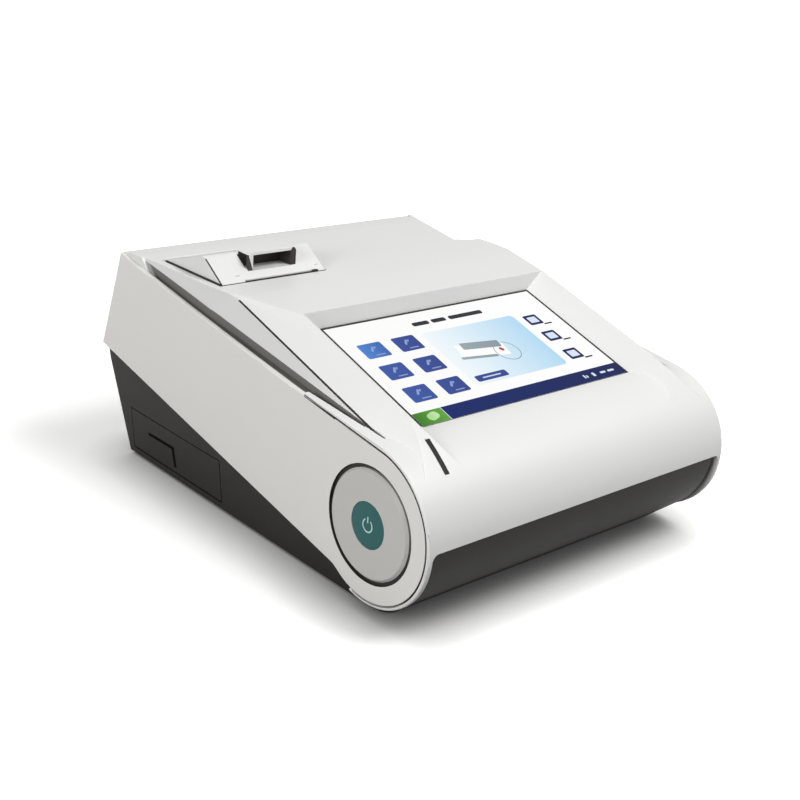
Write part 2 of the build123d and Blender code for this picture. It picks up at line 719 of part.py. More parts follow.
# Side plates and the round caps in them
for name, side in (("left", -1), ("right", 1)):
    with BuildPart() as side_plate:
        with BuildSketch(Plane.YZ.offset(side * PLATE_IN)):
            add(plate_face)
            with Locations(NOSE):
                Circle(DISC_HOLE_R, mode=Mode.SUBTRACT)
            if side > 0:
                with Locations((SCOOP_C[1], SCOOP_FLOOR)):
                    Rectangle(
                        SCOOP_A[1] - SCOOP_C[1], 2 * SLOT_H + 10,
                        align=(Align.MIN, Align.MIN), mode=Mode.SUBTRACT,
                    )
        extrude(amount=side * (PLATE_OUT - PLATE_IN))
        outer = side_plate.faces().filter_by(Axis.X).sort_by(Axis.X)[0 if side < 0 else -1]
        fillet(outer.outer_wire().edges(), 0.9)
    side_plate.part.label = f"{name}_side_plate"
    export_step(side_plate.part, f"parts/{name}_side_plate.step")

    with BuildPart() as seal:
        with BuildSketch(Plane.YZ.offset(side * PLATE_IN)):
            with Locations(NOSE):
                Circle(DISC_HOLE_R - 0.05)
                Circle(DISC_R + 0.05, mode=Mode.SUBTRACT)
        extrude(amount=side * 0.6)
    seal.part.label = f"{name}_disc_seal"
    export_step(seal.part, f"parts/{name}_disc_seal.step")

    with BuildPart() as disc:
        with BuildSketch(Plane.YZ.offset(side * PLATE_IN)):
            with Locations(NOSE):
                Circle(DISC_R)
        extrude(amount=side * (DISC_X - PLATE_IN))
        outer = disc.faces().filter_by(Axis.X).sort_by(Axis.X)[0 if side < 0 else -1]
        chamfer(outer.edges(), 1.4)
        if side < 0:
            rod_x((-PLATE_IN, -104.8), 19.0, NOSE)
            rod_x((-PLATE_IN + 0.5, -104), 16.0, NOSE, mode=Mode.SUBTRACT)
            rod_x((-PLATE_IN + 0.5, -DISC_X - 1)[::-1], BUTTON_R + 0.08, NOSE, mode=Mode.SUBTRACT)
    disc.part.label = f"{name}_disc"
    export_step(disc.part, f"parts/{name}_disc.step")

# Dark strips in the grooves beside the side plates
for name, side in (("left", -1), ("right", 1)):
    with BuildPart() as strip_wall:
        with BuildSketch():
            Polygon(
                (STRIP_IN_X + RUN_GAP, STRIP_WALL[0][0]),
                *[(x, y) for y, x in STRIP_WALL],
                (STRIP_IN_X + RUN_GAP, STRIP_WALL[-1][0]),
                align=None,
            )
        extrude(amount=ROOF_Z)
        with BuildSketch(Plane.YZ.offset(STRIP_IN_X)):
            add(groove_side.sketch)
            offset(amount=-RUN_GAP, kind=Kind.INTERSECTION)
        extrude(amount=10, mode=Mode.INTERSECT)
    with BuildPart() as groove_strip:
        with BuildSketch():
            Polygon(
                (STRIP_IN_X + RUN_GAP, STRIP_FLOOR[0][0]),
                *[(x - RUN_GAP, y) for y, x in STRIP_FLOOR],
                (STRIP_IN_X + RUN_GAP, STRIP_FLOOR[-1][0]),
                align=None,
            )
        extrude(amount=ROOF_Z)
        with BuildSketch(Plane.YZ.offset(STRIP_IN_X)):
            Polygon(
                under_crest(STRIP_FLOOR[0][0] + RUN_GAP, GROOVE_DEPTH - RUN_GAP),
                under_crest(PLATE_CREST[1][0], GROOVE_DEPTH - RUN_GAP),
                under_crest(GROOVE_REAR_Y, GROOVE_DEPTH - 2 * RUN_GAP),
                under_crest(GROOVE_REAR_Y, STRIP_SINK),
                under_crest(PLATE_CREST[1][0], STRIP_SINK),
                under_crest(STRIP_FLOOR[0][0] + RUN_GAP, STRIP_SINK),
                align=None,
            )
        extrude(amount=10, mode=Mode.INTERSECT)
        add(strip_wall.part)
        if side < 0:
            mirror(groove_strip.part, Plane.YZ, mode=Mode.REPLACE)
        else:
            block(
                (STRIP_IN_X - 1, DISC_X), (port_front_y - RUN_GAP, ROOF_REAR[0]), (0, ROOF_Z),
                mode=Mode.SUBTRACT,
            )
    groove_strip.part.label = f"{name}_groove_strip"
    export_step(groove_strip.part, f"parts/{name}_groove_strip.step")

# Power button: cap, flange that keeps it in and a stem for the switch
with BuildPart() as power_button:
    rod_x((-DISC_X, -113.6), BUTTON_R, NOSE)
    rod_x((-115.0, -113.6), BUTTON_FLANGE_R, NOSE)
    rod_x((-113.6, -109.0), 2.5, NOSE)
    rim = power_button.edges().sort_by(Axis.X)[0]
    fillet(rim, 0.6)
power_button.part.label = "power_button"
export_step(power_button.part, "parts/power_button.step")

with BuildPart() as button_switch_board:
    rod_x((-104.8, -103.2), 19.0, NOSE)
    block((-107.3, -104.8), (NOSE_Y - 3, NOSE_Y + 3), (NOSE_Z - 3, NOSE_Z + 3))
    block((-103.2, -100.0), (NOSE_Y - 6, NOSE_Y + 6), (NOSE_Z - 14, NOSE_Z - 9))
button_switch_board.part.label = "button_switch_board"
export_step(button_switch_board.part, "parts/button_switch_board.step")

# Status light: a curved lens in the rail, with its board below
LENS_SINK = 0.25
with BuildPart() as status_light_lens:
    with BuildSketch(Plane.YZ.offset(LIGHT_X[0])):
        with BuildLine():
            middle_y = sum(LIGHT_Y) / 2
            ThreePointArc(
                rail_point(LIGHT_Y[0], LENS_SINK),
                rail_point(middle_y, LENS_SINK),
                rail_point(LIGHT_Y[1], LENS_SINK),
            )
            Line(rail_point(LIGHT_Y[1], LENS_SINK), rail_point(LIGHT_Y[1], LENS_T))
            ThreePointArc(
                rail_point(LIGHT_Y[1], LENS_T),
                rail_point(middle_y, LENS_T),
                rail_point(LIGHT_Y[0], LENS_T),
            )
            Line(rail_point(LIGHT_Y[0], LENS_T), rail_point(LIGHT_Y[0], LENS_SINK))
        make_face()
    extrude(amount=LIGHT_X[1] - LIGHT_X[0])
status_light_lens.part.label = "status_light_lens"
export_step(status_light_lens.part, "parts/status_light_lens.step")

light_slope = (Vector(*rail_point(LIGHT_Y[1])) - Vector(*rail_point(LIGHT_Y[0]))).normalized()
with BuildPart() as status_light_board:
    light_low = rail_point(sum(LIGHT_Y) / 2, LENS_T + 5)
    light_plane = Plane(
        origin=(sum(LIGHT_X) / 2, *light_low),
        x_dir=(1, 0, 0),
        z_dir=(0, -light_slope.Y, light_slope.X),
    )
    with BuildSketch(light_plane):
        Rectangle(9, 22)
    extrude(amount=-1.6)
    with BuildSketch(light_plane):
        with GridLocations(1, 5.2, 1, 3):
            Rectangle(2.4, 3.0)
    extrude(amount=4.0)
status_light_board.part.label = "status_light_board"
export_step(status_light_board.part, "parts/status_light_board.step")

# Screen: gasket, glass, panel and the bracket that carries them
with BuildPart() as display_gasket:
    with BuildSketch(glass_plane.offset(0.3)):
        with Locations((0, GLASS_LEN / 2)):
            Rectangle(2 * GLASS_HALF, GLASS_LEN)
            Rectangle(
                2 * (GLASS_HALF - GASKET_W), GLASS_LEN - 2 * GASKET_W, mode=Mode.SUBTRACT
            )
    extrude(amount=-7.5)
display_gasket.part.label = "display_gasket"
export_step(display_gasket.part, "parts/display_gasket.step")

with BuildPart() as touch_glass:
    with BuildSketch(glass_plane):
        with Locations((0, GLASS_LEN / 2)):
            Rectangle(2 * (GLASS_HALF - GASKET_W), GLASS_LEN - 2 * GASKET_W)
    extrude(amount=-GLASS_T)
touch_glass.part.label = "touch_glass"
export_step(touch_glass.part, "parts/touch_glass.step")

with BuildPart() as display_panel:
    with BuildSketch(glass_plane.offset(-GLASS_T)):
        with Locations((0, GLASS_LEN / 2)):
            Rectangle(2 * (GLASS_HALF - 4), GLASS_LEN - 5)
    extrude(amount=-5.2)
display_panel.part.label = "display_panel"
export_step(display_panel.part, "parts/display_panel.step")

with BuildPart() as display_bracket:
    with BuildSketch(glass_plane.offset(-7.2)):
        with Locations((0, GLASS_LEN / 2)):
            Rectangle(2 * (GLASS_HALF + 8), GLASS_LEN - 2)
            Rectangle(2 * (GLASS_HALF - 12), GLASS_LEN - 30, mode=Mode.SUBTRACT)
    extrude(amount=-1.6)
    with BuildSketch(glass_plane.offset(-7.2)):
        with Locations((0, GLASS_LEN / 2)):
            with GridLocations(2 * (GLASS_HALF + 4), 70, 2, 2):
                Circle(2.6)
    extrude(amount=4.2)
display_bracket.part.label = "display_bracket"
export_step(display_bracket.part, "parts/display_bracket.step")

# Printer door: a hollow wedge with a barrel at the back and an arched pull on its ridge
barrel_top = (HINGE[0] + 0.6, HINGE[1] + BARREL_R - 0.1)
with BuildPart() as printer_door:
    with BuildSketch(Plane.YZ.offset(DOOR_X[0])):
        Polygon(
            (DOOR_FRONT_Y, DOOR_LIP_Z[0]),
            (DOOR_FRONT_Y, DOOR_LIP_Z[1]),
            DOOR_RIDGE,
            barrel_top,
            HINGE,
            (HINGE[0] - 4, DOOR_LIP_Z[0]),
            align=None,
        )
    extrude(amount=DOOR_X[1] - DOOR_X[0])
    ridge = printer_door.edges().filter_by(Axis.X).sort_by(Axis.Z)[-1]
    fillet(ridge, 5.0)
    # Arched pull: a block on the ridge with a window that is open to the left
    block((PULL_X[0], PULL_X[1] + 1), (48.0, 61.0), (DOOR_LIP_Z[1], PULL_TOP))
    top_edges = printer_door.faces().sort_by(Axis.Z)[-1].edges().filter_by(Axis.Y)
    fillet(top_edges, 3.0)
    block((PULL_X[0] - 1, PULL_X[1] - 3), (50.6, 59.0), (140.5, 149.4), mode=Mode.SUBTRACT)
    block((PULL_X[0] + 3, PULL_X[1] - 3), (47.0, 51.0), (140.5, 149.4), mode=Mode.SUBTRACT)
    # Hollow underside
    with BuildSketch(Plane.YZ.offset(DOOR_X[0] + DOOR_WALL)):
        Polygon(
            (DOOR_FRONT_Y + DOOR_WALL, DOOR_LIP_Z[0] - 1),
            (DOOR_FRONT_Y + DOOR_WALL, DOOR_LIP_Z[1] - 1.2),
            (50.0, 138.6),
            (60.4, 138.6),
            (63.5, DOOR_RIDGE[1] - 4.2),
            (HINGE[0] - 6, 134.9),
            (HINGE[0] - 6, DOOR_LIP_Z[0] - 1),
            align=None,
        )
    extrude(amount=DOOR_X[1] - DOOR_X[0] - 2 * DOOR_WALL, mode=Mode.SUBTRACT)
    rod_x((GEAR_X[0] - 0.8, GEAR_X[1] + 0.8), GEAR_ROOM_R, PLATEN, mode=Mode.SUBTRACT)
    # Cheeks that carry the platen's shaft
    for x in CHEEK_X:
        block(x, (45.5, 54.0), (PLATEN[1], 139.5))
        rod_x(x, 3.5, PLATEN)
    rod_x((CHEEK_X[0][0] - 1, CHEEK_X[1][1] + 1), SHAFT_R + RUN_GAP, PLATEN, mode=Mode.SUBTRACT)
    # Hinge barrel and slot for the paper
    rod_x(DOOR_X, BARREL_R, HINGE)
    rod_x((DOOR_X[0] - 1, DOOR_X[1] + 1), PIN_R + RUN_GAP, HINGE, mode=Mode.SUBTRACT)
    block((-90, -38), (DOOR_FRONT_Y - 1, DOOR_FRONT_Y + 1.2), (133.0, 137.5), mode=Mode.SUBTRACT)
printer_door.part.label = "printer_door"
export_step(printer_door.part, "parts/printer_door.step")

with BuildPart() as door_hinge_pin:
    rod_x(HINGE_PIN_X, PIN_R, HINGE)
door_hinge_pin.part.label = "door_hinge_pin"
export_step(door_hinge_pin.part, "parts/door_hinge_pin.step")

with BuildPart() as platen_roller:
    rod_x((CHEEK_X[0][1] + 1, CHEEK_X[1][0] - 0.5), PLATEN_R, PLATEN)
    rod_x((GEAR_X[0] - 0.3, CHEEK_X[1][1] + 0.3), SHAFT_R, PLATEN)
platen_roller.part.label = "platen_roller"
export_step(platen_roller.part, "parts/platen_roller.step")

with BuildPart() as platen_gear:
    with BuildSketch(Plane.YZ.offset(GEAR_X[0])):
        with Locations(PLATEN):
            Polygon(*gear_outline(PLATEN_TEETH, 11.25), align=None)
            Circle(SHAFT_R, mode=Mode.SUBTRACT)
    extrude(amount=GEAR_X[1] - GEAR_X[0])
platen_gear.part.label = "platen_gear"
export_step(platen_gear.part, "parts/platen_gear.step")

with BuildPart() as idler_gear:
    with BuildSketch(Plane.YZ.offset(GEAR_X[0])):
        with Locations(IDLER):
            Polygon(*gear_outline(IDLER_TEETH, 0), align=None)
            Circle(SHAFT_R + RUN_GAP, mode=Mode.SUBTRACT)
    extrude(amount=GEAR_X[1] - GEAR_X[0])
idler_gear.part.label = "idler_gear"
export_step(idler_gear.part, "parts/idler_gear.step")

with BuildPart() as motor_pinion:
    with BuildSketch(Plane.YZ.offset(GEAR_X[0])):
        with Locations(PINION):
            Polygon(*gear_outline(PINION_TEETH, 15), align=None)
    extrude(amount=GEAR_X[1] - GEAR_X[0])
    rod_x((GEAR_X[1] - 1, -88.0), 1.0, PINION)
motor_pinion.part.label = "motor_pinion"
export_step(motor_pinion.part, "parts/motor_pinion.step")

# Printer frame: floor, two plates and the stud of the idler
with BuildPart() as printer_frame:
    block(FRAME_X, (36.0, TUB_Y[0]), (96.0, 98.0))
    block((FRAME_X[0], FRAME_X[0] + 2), (36.0, TUB_Y[0]), (96.0, 124.0))
    block((FRAME_X[1] - 2, FRAME_X[1]), (36.0, TUB_Y[0]), (96.0, 124.0))
    rod_x((GEAR_X[0] - 0.6, FRAME_X[0] + 1), SHAFT_R, IDLER)
    rod_x((GEAR_X[0] - 1.4, GEAR_X[0] - 0.4), 2.4, IDLER)
    rod_x((FRAME_X[0] - 1, FRAME_X[0] + 3), 1.6, PINION, mode=Mode.SUBTRACT)
printer_frame.part.label = "printer_frame"
export_step(printer_frame.part, "parts/printer_frame.step")

with BuildPart() as printer_motor:
    rod_x((FRAME_X[0] + 2, -74.0), 9.0, PINION)
    rod_x((FRAME_X[0] + 1, -87.0), 1.0 + RUN_GAP, PINION, mode=Mode.SUBTRACT)
    block((-88, -80), (PINION[0] - 5, PINION[0] + 5), (98.0, 101.0))
printer_motor.part.label = "printer_motor"
export_step(printer_motor.part, "parts/printer_motor.step")

with BuildPart() as print_head:
    block((-93.0, -38.0), (40.0, 43.6), (119.0, 133.0))
    block((-93.0, -38.0), (36.0, 41.0), (119.0, 122.0))
print_head.part.label = "print_head"
export_step(print_head.part, "parts/print_head.step")

# Tub for the paper roll, with the spindle in its side walls
with BuildPart() as printer_tub:
    block(TUB_X, TUB_Y, TUB_Z)
    block(
        (TUB_X[0] + TUB_WALL, TUB_X[1] - TUB_WALL),
        (TUB_Y[0] + TUB_WALL, TUB_Y[1] - TUB_WALL),
        (TUB_Z[0] + TUB_WALL, TUB_Z[1] + 1),
        mode=Mode.SUBTRACT,
    )
    block((TUB_X[0] - 1, TUB_X[1] + 1), (95.5, TUB_Y[1] + 1), (129.2, 135), mode=Mode.SUBTRACT)
    block((TUB_X[0] - 1, TUB_X[1] + 1), (50.0, 62.0), (118.0, 135), mode=Mode.SUBTRACT)
printer_tub.part.label = "printer_tub"
export_step(printer_tub.part, "parts/printer_tub.step")

with BuildPart() as paper_spindle:
    rod_x((TUB_X[0] + TUB_WALL, TUB_X[1] - TUB_WALL), CORE_R, ROLL)
paper_spindle.part.label = "paper_spindle"
export_step(paper_spindle.part, "parts/paper_spindle.step")

with BuildPart() as paper_roll:
    rod_x(ROLL_X, ROLL_R, ROLL)
    rod_x((ROLL_X[0] - 1, ROLL_X[1] + 1), CORE_R + RUN_GAP, ROLL, mode=Mode.SUBTRACT)
paper_roll.part.label = "paper_roll"
export_step(paper_roll.part, "parts/paper_roll.step")

# Side hatch: a plate in the sloping side that turns down about its lower edge, with a
# three-cornered finger pocket that has a slanted floor
with BuildPart() as finger_pocket:
    with BuildSketch(side_plane.offset(-POCKET_DEPTH)):
        Polygon(*[(-y, (z - FOOT_H) / side_rise.Z) for y, z in POCKET], align=None)
    extrude(amount=2 * POCKET_DEPTH)
    corners = [Vector(-side_x(z), y, z) for y, z in POCKET]
    deep = corners[1] - side_plane.z_dir * POCKET_DEPTH
    slant = (corners[2] - deep).cross(corners[0] - deep).normalized()
    slant = slant if slant.dot(side_plane.z_dir) > 0 else slant * -1
    split(bisect_by=Plane(origin=deep, z_dir=slant), keep=Keep.TOP)

with BuildPart() as side_hatch:
    hatch_low = HATCH_PIVOT[1]
    hatch_high = HATCH_Z[1] - HATCH_GAP
    with BuildSketch(Plane.XZ.offset(HATCH_GAP - HATCH_Y[1])):
        Polygon(
            (-side_x(hatch_low), hatch_low),
            (-side_x(hatch_high), hatch_high),
            (-side_x(hatch_high) + HATCH_T, hatch_high),
            (-side_x(hatch_low) + HATCH_T, hatch_low),
            align=None,
        )
    extrude(amount=HATCH_Y[1] - HATCH_Y[0] - 2 * HATCH_GAP)
    rod_y((HATCH_Y[0] + HATCH_GAP, HATCH_Y[1] - HATCH_GAP), HATCH_BARREL_R, HATCH_PIVOT)
    rod_y((HATCH_Y[0] - 2.5, HATCH_Y[1] + 2.5), HATCH_PIN_R, HATCH_PIVOT)
    add(finger_pocket.part, mode=Mode.SUBTRACT)
side_hatch.part.label = "side_hatch"
export_step(side_hatch.part, "parts/side_hatch.step")

with BuildPart() as usb_bay:
    block((-108.4, -96.0), BAY_Y, BAY_Z)
    block(
        (-110.0, -97.6), (BAY_Y[0] + 1.6, BAY_Y[1] - 1.6), (BAY_Z[0] + 1.6, BAY_Z[1] - 1.6),
        mode=Mode.SUBTRACT,
    )
    for y in (66.0, 83.0):
        block((-98, -95), (y - 6.7, y + 6.7), (13.5, 29.5), mode=Mode.SUBTRACT)
    for z in (17.0, 26.0):
        rod_x((-98, -95), 1.8, (97.5, z), mode=Mode.SUBTRACT)
usb_bay.part.label = "usb_bay"
export_step(usb_bay.part, "parts/usb_bay.step")

with BuildPart() as usb_sockets:
    for y in (66.0, 83.0):
        block((-102.5, -84.0), (y - 6.7, y + 6.7), (13.5, 29.5))
        for z in (17.5, 25.5):
            block((-103, -93.5), (y - 6.1, y + 6.1), (z - 2.6, z + 2.6), mode=Mode.SUBTRACT)
            block((-101.5, -93), (y - 5.6, y + 5.6), (z + 0.2, z + 2.0))
    block((-84.0, -82.4), (56.0, 93.0), (8.0, 32.0))
    block((-98.0, -82.4), (57.0, 92.0), (6.0, 8.0))
usb_sockets.part.label = "usb_sockets"
export_step(usb_sockets.part, "parts/usb_sockets.step")

# Cartridge port: bezel in the slot and a tunnel behind it
with BuildPart() as cartridge_bezel:
    with BuildSketch(port_plane.offset(0)):
        RectangleRounded(SLOT_W + 7, SLOT_H + 5, 2.0)
    extrude(amount=1.4)
    with BuildSketch(port_plane):
        Rectangle(SLOT_W, SLOT_H)
    extrude(amount=-2.9)
    with BuildSketch(port_plane.offset(2)):
        Rectangle(TUNNEL_W - 1, TUNNEL_H - 1)
    extrude(amount=-6, mode=Mode.SUBTRACT)
    lead_in = cartridge_bezel.faces().sort_by(Axis(port_plane.origin, port_plane.z_dir))[-1]
    chamfer(lead_in.inner_wires()[0].edges(), 0.8)
cartridge_bezel.part.label = "cartridge_bezel"
export_step(cartridge_bezel.part, "parts/cartridge_bezel.step")

FLAP_PIVOT = (2.0, -7.5)      # height and depth in the tunnel
FLAP_BARREL_R = 0.9
FLAP_PIN_R = 0.6
CONTACT_DEPTH = -33.0
port_side = Plane(
    origin=port_plane.origin, x_dir=port_plane.y_dir, z_dir=port_plane.x_dir
)   # local x is up, local y runs out of the slot
with BuildPart() as cartridge_guide:
    with BuildSketch(port_plane.offset(-TUNNEL_DEPTH[0])):
        Rectangle(TUNNEL_W + 2 * TUNNEL_WALL, TUNNEL_H + 2 * TUNNEL_WALL)
        Rectangle(TUNNEL_W, TUNNEL_H, mode=Mode.SUBTRACT)
    extrude(amount=TUNNEL_DEPTH[0] - TUNNEL_DEPTH[1])
    with BuildSketch(port_plane.offset(-TUNNEL_DEPTH[1])):
        Rectangle(TUNNEL_W + 2 * TUNNEL_WALL, TUNNEL_H + 2 * TUNNEL_WALL)
    extrude(amount=-2.0)
    with BuildSketch(port_side):
        with Locations((FLAP_PIVOT[0], FLAP_PIVOT[1])):
            Circle(FLAP_PIN_R + RUN_GAP)
    extrude(amount=TUNNEL_W / 2 + 1.6, both=True, mode=Mode.SUBTRACT)
    with BuildSketch(port_plane.offset(CONTACT_DEPTH)):
        with Locations((0, -TUNNEL_H / 2 - TUNNEL_WALL / 2)):
            Rectangle(24, TUNNEL_WALL + 2)
    extrude(amount=9, both=True, mode=Mode.SUBTRACT)
    block(
        (INSIDE_X - RUN_GAP, DISC_X), (SCOOP_B[1], ROOF_REAR[0]), (SCOOP_FLOOR, ROOF_Z),
        mode=Mode.SUBTRACT,
    )
cartridge_guide.part.label = "cartridge_guide"
export_step(cartridge_guide.part, "parts/cartridge_guide.step")

with BuildPart() as cartridge_flap:
    with BuildSketch(port_side):
        with Locations(FLAP_PIVOT):
            Circle(FLAP_BARREL_R)
        with Locations((-0.3, FLAP_PIVOT[1])):
            Rectangle(4.6, 1.0)
    extrude(amount=TUNNEL_W / 2 - 0.3, both=True)
    with BuildSketch(port_side):
        with Locations(FLAP_PIVOT):
            Circle(FLAP_PIN_R)
    extrude(amount=TUNNEL_W / 2 + 1.3, both=True)
cartridge_flap.part.label = "cartridge_flap"
export_step(cartridge_flap.part, "parts/cartridge_flap.step")

contact_origin = port_plane.origin + port_plane.z_dir * CONTACT_DEPTH
carriage_plane = Plane(
    origin=(contact_origin.X, contact_origin.Y, 0),
    x_dir=(port_along.X, port_along.Y, 0),
    z_dir=(0, 0, 1),
)
with BuildPart() as contact_carriage:
    with BuildSketch(carriage_plane.offset(106.0)):
        RectangleRounded(34, 30, 2)
    extrude(amount=6.0)
    with BuildSketch(carriage_plane.offset(112.0)):
        RectangleRounded(22, 16, 1)
    extrude(amount=3.0)
    with BuildSketch(carriage_plane.offset(115.0)):
        with GridLocations(2.6, 8.0, 8, 2):
            Circle(0.5)
    extrude(amount=1.6)
    with BuildSketch(carriage_plane.offset(106.0)):
        Circle(3.0)
    extrude(amount=-10.0)
contact_carriage.part.label = "contact_carriage"
export_step(contact_carriage.part, "parts/contact_carriage.step")

with BuildPart() as clamp_solenoid:
    with BuildSketch(carriage_plane.offset(80.0)):
        RectangleRounded(24, 22, 2)
    extrude(amount=22.0)
    with BuildSketch(carriage_plane.offset(93.0)):
        Circle(3.0 + RUN_GAP)
    extrude(amount=10.0, mode=Mode.SUBTRACT)
    with BuildSketch(carriage_plane.offset(78.4)):
        Rectangle(54, 22)
    extrude(amount=1.6)
    with BuildSketch(carriage_plane.offset(80.0)):
        with GridLocations(48, 1, 2, 1):
            Rectangle(4, 8)
    extrude(amount=SLOT_Z - TUNNEL_H / 2 - TUNNEL_WALL - 80.0)
clamp_solenoid.part.label = "clamp_solenoid"
export_step(clamp_solenoid.part, "parts/clamp_solenoid.step")

with BuildPart() as barcode_reader:
    with BuildSketch(port_plane.offset(-10)):
        with Locations((TUNNEL_W / 2 - 10, -TUNNEL_H / 2 - TUNNEL_WALL - 5)):
            Rectangle(16, 10)
    extrude(amount=-8)
barcode_reader.part.label = "barcode_reader"
export_step(barcode_reader.part, "parts/barcode_reader.step")

# Boards and what stands on them
BOARD_Z = (14.0, 15.6)
with BuildPart() as main_board:
    block((-30, 90), (-58, 58), BOARD_Z)
main_board.part.label = "main_board"
export_step(main_board.part, "parts/main_board.step")

with BuildPart() as board_connectors:
    for y in (-40, -20, 0, 20, 40):
        block((78, 86), (y - 6, y + 6), (BOARD_Z[1], BOARD_Z[1] + 7))
    block((-10, 18), (-30, -2), (BOARD_Z[1], BOARD_Z[1] + 2.4))
    block((30, 52), (10, 24), (BOARD_Z[1], BOARD_Z[1] + 1.6))
    block((30, 52), (-24, -10), (BOARD_Z[1], BOARD_Z[1] + 1.6))
    for y in (-44, -32, 36, 48):
        rod_z((BOARD_Z[1], BOARD_Z[1] + 9), 4.0, (-18, y))
board_connectors.part.label = "board_connectors"
export_step(board_connectors.part, "parts/board_connectors.step")

with BuildPart() as power_board:
    block((20, 94), (70, 120), BOARD_Z)
    block((30, 54), (80, 104), (BOARD_Z[1], BOARD_Z[1] + 20))
    for x in (66, 82):
        rod_z((BOARD_Z[1], BOARD_Z[1] + 22), 6.0, (x, 106))
    block((62, 88), (78, 82), (BOARD_Z[1], BOARD_Z[1] + 18))
power_board.part.label = "power_board"
export_step(power_board.part, "parts/power_board.step")

with BuildPart() as battery_pack:
    block((-90, -42), (-78, 10), (FOOT_H + WALL, 26))
    fillet(battery_pack.edges().filter_by(Axis.Y), 5.0)
battery_pack.part.label = "battery_pack"
export_step(battery_pack.part, "parts/battery_pack.step")

with BuildPart() as speaker:
    rod_z((FOOT_H + WALL, FOOT_H + WALL + 3), 12.0, (-20, -84))
    rod_z((FOOT_H + WALL + 3, FOOT_H + WALL + 8), 8.0, (-20, -84))
speaker.part.label = "speaker"
export_step(speaker.part, "parts/speaker.step")

# Rear panel with the power inlet and the network socket
with BuildPart() as rear_port_panel:
    with BuildSketch(rear_plane.offset(-1.0)):
        with Locations(PORT_PANEL[0]):
            Rectangle(*PORT_PANEL[1])
        with Locations(INLET):
            Circle(5.5, mode=Mode.SUBTRACT)
        with Locations(NETWORK):
            Rectangle(16.2, 13.6, mode=Mode.SUBTRACT)
    extrude(amount=-PORT_PANEL[2])
rear_port_panel.part.label = "rear_port_panel"
export_step(rear_port_panel.part, "parts/rear_port_panel.step")

with BuildPart() as rear_inlet:
    with BuildSketch(rear_plane.offset(-0.6)):
        with Locations(INLET):
            Circle(5.5)
            Circle(3.2, mode=Mode.SUBTRACT)
    extrude(amount=-12.0)
    with BuildSketch(rear_plane.offset(-1.0 - PORT_PANEL[2])):
        with Locations(INLET):
            Rectangle(14, 14)
            Circle(3.2, mode=Mode.SUBTRACT)
    extrude(amount=-12.0)
    with BuildSketch(rear_plane.offset(-14)):
        with Locations(INLET):
            Rectangle(14, 14)
    extrude(amount=-1.5)
    with BuildSketch(rear_plane.offset(-14)):
        with Locations(INLET):
            Circle(1.0)
    extrude(amount=11.0)
rear_inlet.part.label = "rear_inlet"
export_step(rear_inlet.part, "parts/rear_inlet.step")

with BuildPart() as network_socket:
    with BuildSketch(rear_plane.offset(-0.6)):
        with Locations(NETWORK):
            Rectangle(16.2, 13.6)
    extrude(amount=-20.0)
    with BuildSketch(rear_plane.offset(-0.6)):
        with Locations(NETWORK):
            Rectangle(11.8, 7.0)
        with Locations((NETWORK[0], NETWORK[1] + 4.4)):
            Rectangle(6.0, 2.4)
    extrude(amount=-12.0, mode=Mode.SUBTRACT)
network_socket.part.label = "network_socket"
export_step(network_socket.part, "parts/network_socket.step")

# Screws and feet
with BuildPart() as casing_screws:
    for x, y in POSTS:
        rod_z((SCREW_SEAT_Z - 2.5, SCREW_SEAT_Z), SCREW_HEAD_R, (x, y))
        rod_z((SCREW_SEAT_Z, parting_z(y) + 12), SCREW_R, (x, y))
casing_screws.part.label = "casing_screws"
export_step(casing_screws.part, "parts/casing_screws.step")

with BuildPart() as rubber_feet:
    for x, y in FEET:
        rod_z((0, FOOT_H), 8.0, (x, y))
    chamfer(rubber_feet.faces().filter_by(Axis.Z).group_by(Axis.Z)[0].edges(), 0.6)
rubber_feet.part.label = "rubber_feet"
export_step(rubber_feet.part, "parts/rubber_feet.step")
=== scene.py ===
# %% [markdown]
# An electrolyte analyzer on a white table
#
# The object is a bench-top laboratory instrument in moulded plastic: a white cover with a
# round nose, grey cheeks with a round cap each, a dark base, and a sloping touch screen.
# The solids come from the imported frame, at their real size in metres. This lesson gives them
# soft moulded edges, real finishes, a lit screen, a camera and a studio.

import bpy
import bmesh
import json
from math import cos, degrees, pi, radians, sin
from mathutils import Matrix, Vector

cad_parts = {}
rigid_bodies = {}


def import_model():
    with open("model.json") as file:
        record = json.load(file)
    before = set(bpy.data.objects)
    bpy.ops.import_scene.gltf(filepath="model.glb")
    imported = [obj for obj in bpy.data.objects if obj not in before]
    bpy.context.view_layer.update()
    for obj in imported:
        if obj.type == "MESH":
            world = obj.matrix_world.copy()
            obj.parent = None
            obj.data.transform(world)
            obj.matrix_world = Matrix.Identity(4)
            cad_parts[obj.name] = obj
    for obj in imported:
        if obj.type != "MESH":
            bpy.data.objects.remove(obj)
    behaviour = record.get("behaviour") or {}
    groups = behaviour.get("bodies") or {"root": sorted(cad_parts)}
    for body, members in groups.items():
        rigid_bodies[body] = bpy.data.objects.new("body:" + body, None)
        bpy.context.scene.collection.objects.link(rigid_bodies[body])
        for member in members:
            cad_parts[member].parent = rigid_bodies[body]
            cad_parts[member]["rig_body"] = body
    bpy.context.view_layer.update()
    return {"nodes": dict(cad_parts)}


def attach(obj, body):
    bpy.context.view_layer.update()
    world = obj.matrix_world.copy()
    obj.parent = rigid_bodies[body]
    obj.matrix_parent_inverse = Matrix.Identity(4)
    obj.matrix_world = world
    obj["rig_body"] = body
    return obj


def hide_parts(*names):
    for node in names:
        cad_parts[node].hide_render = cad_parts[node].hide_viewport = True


MM = 0.001                # the sizes below are in millimetres, and the scene is in metres

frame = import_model()

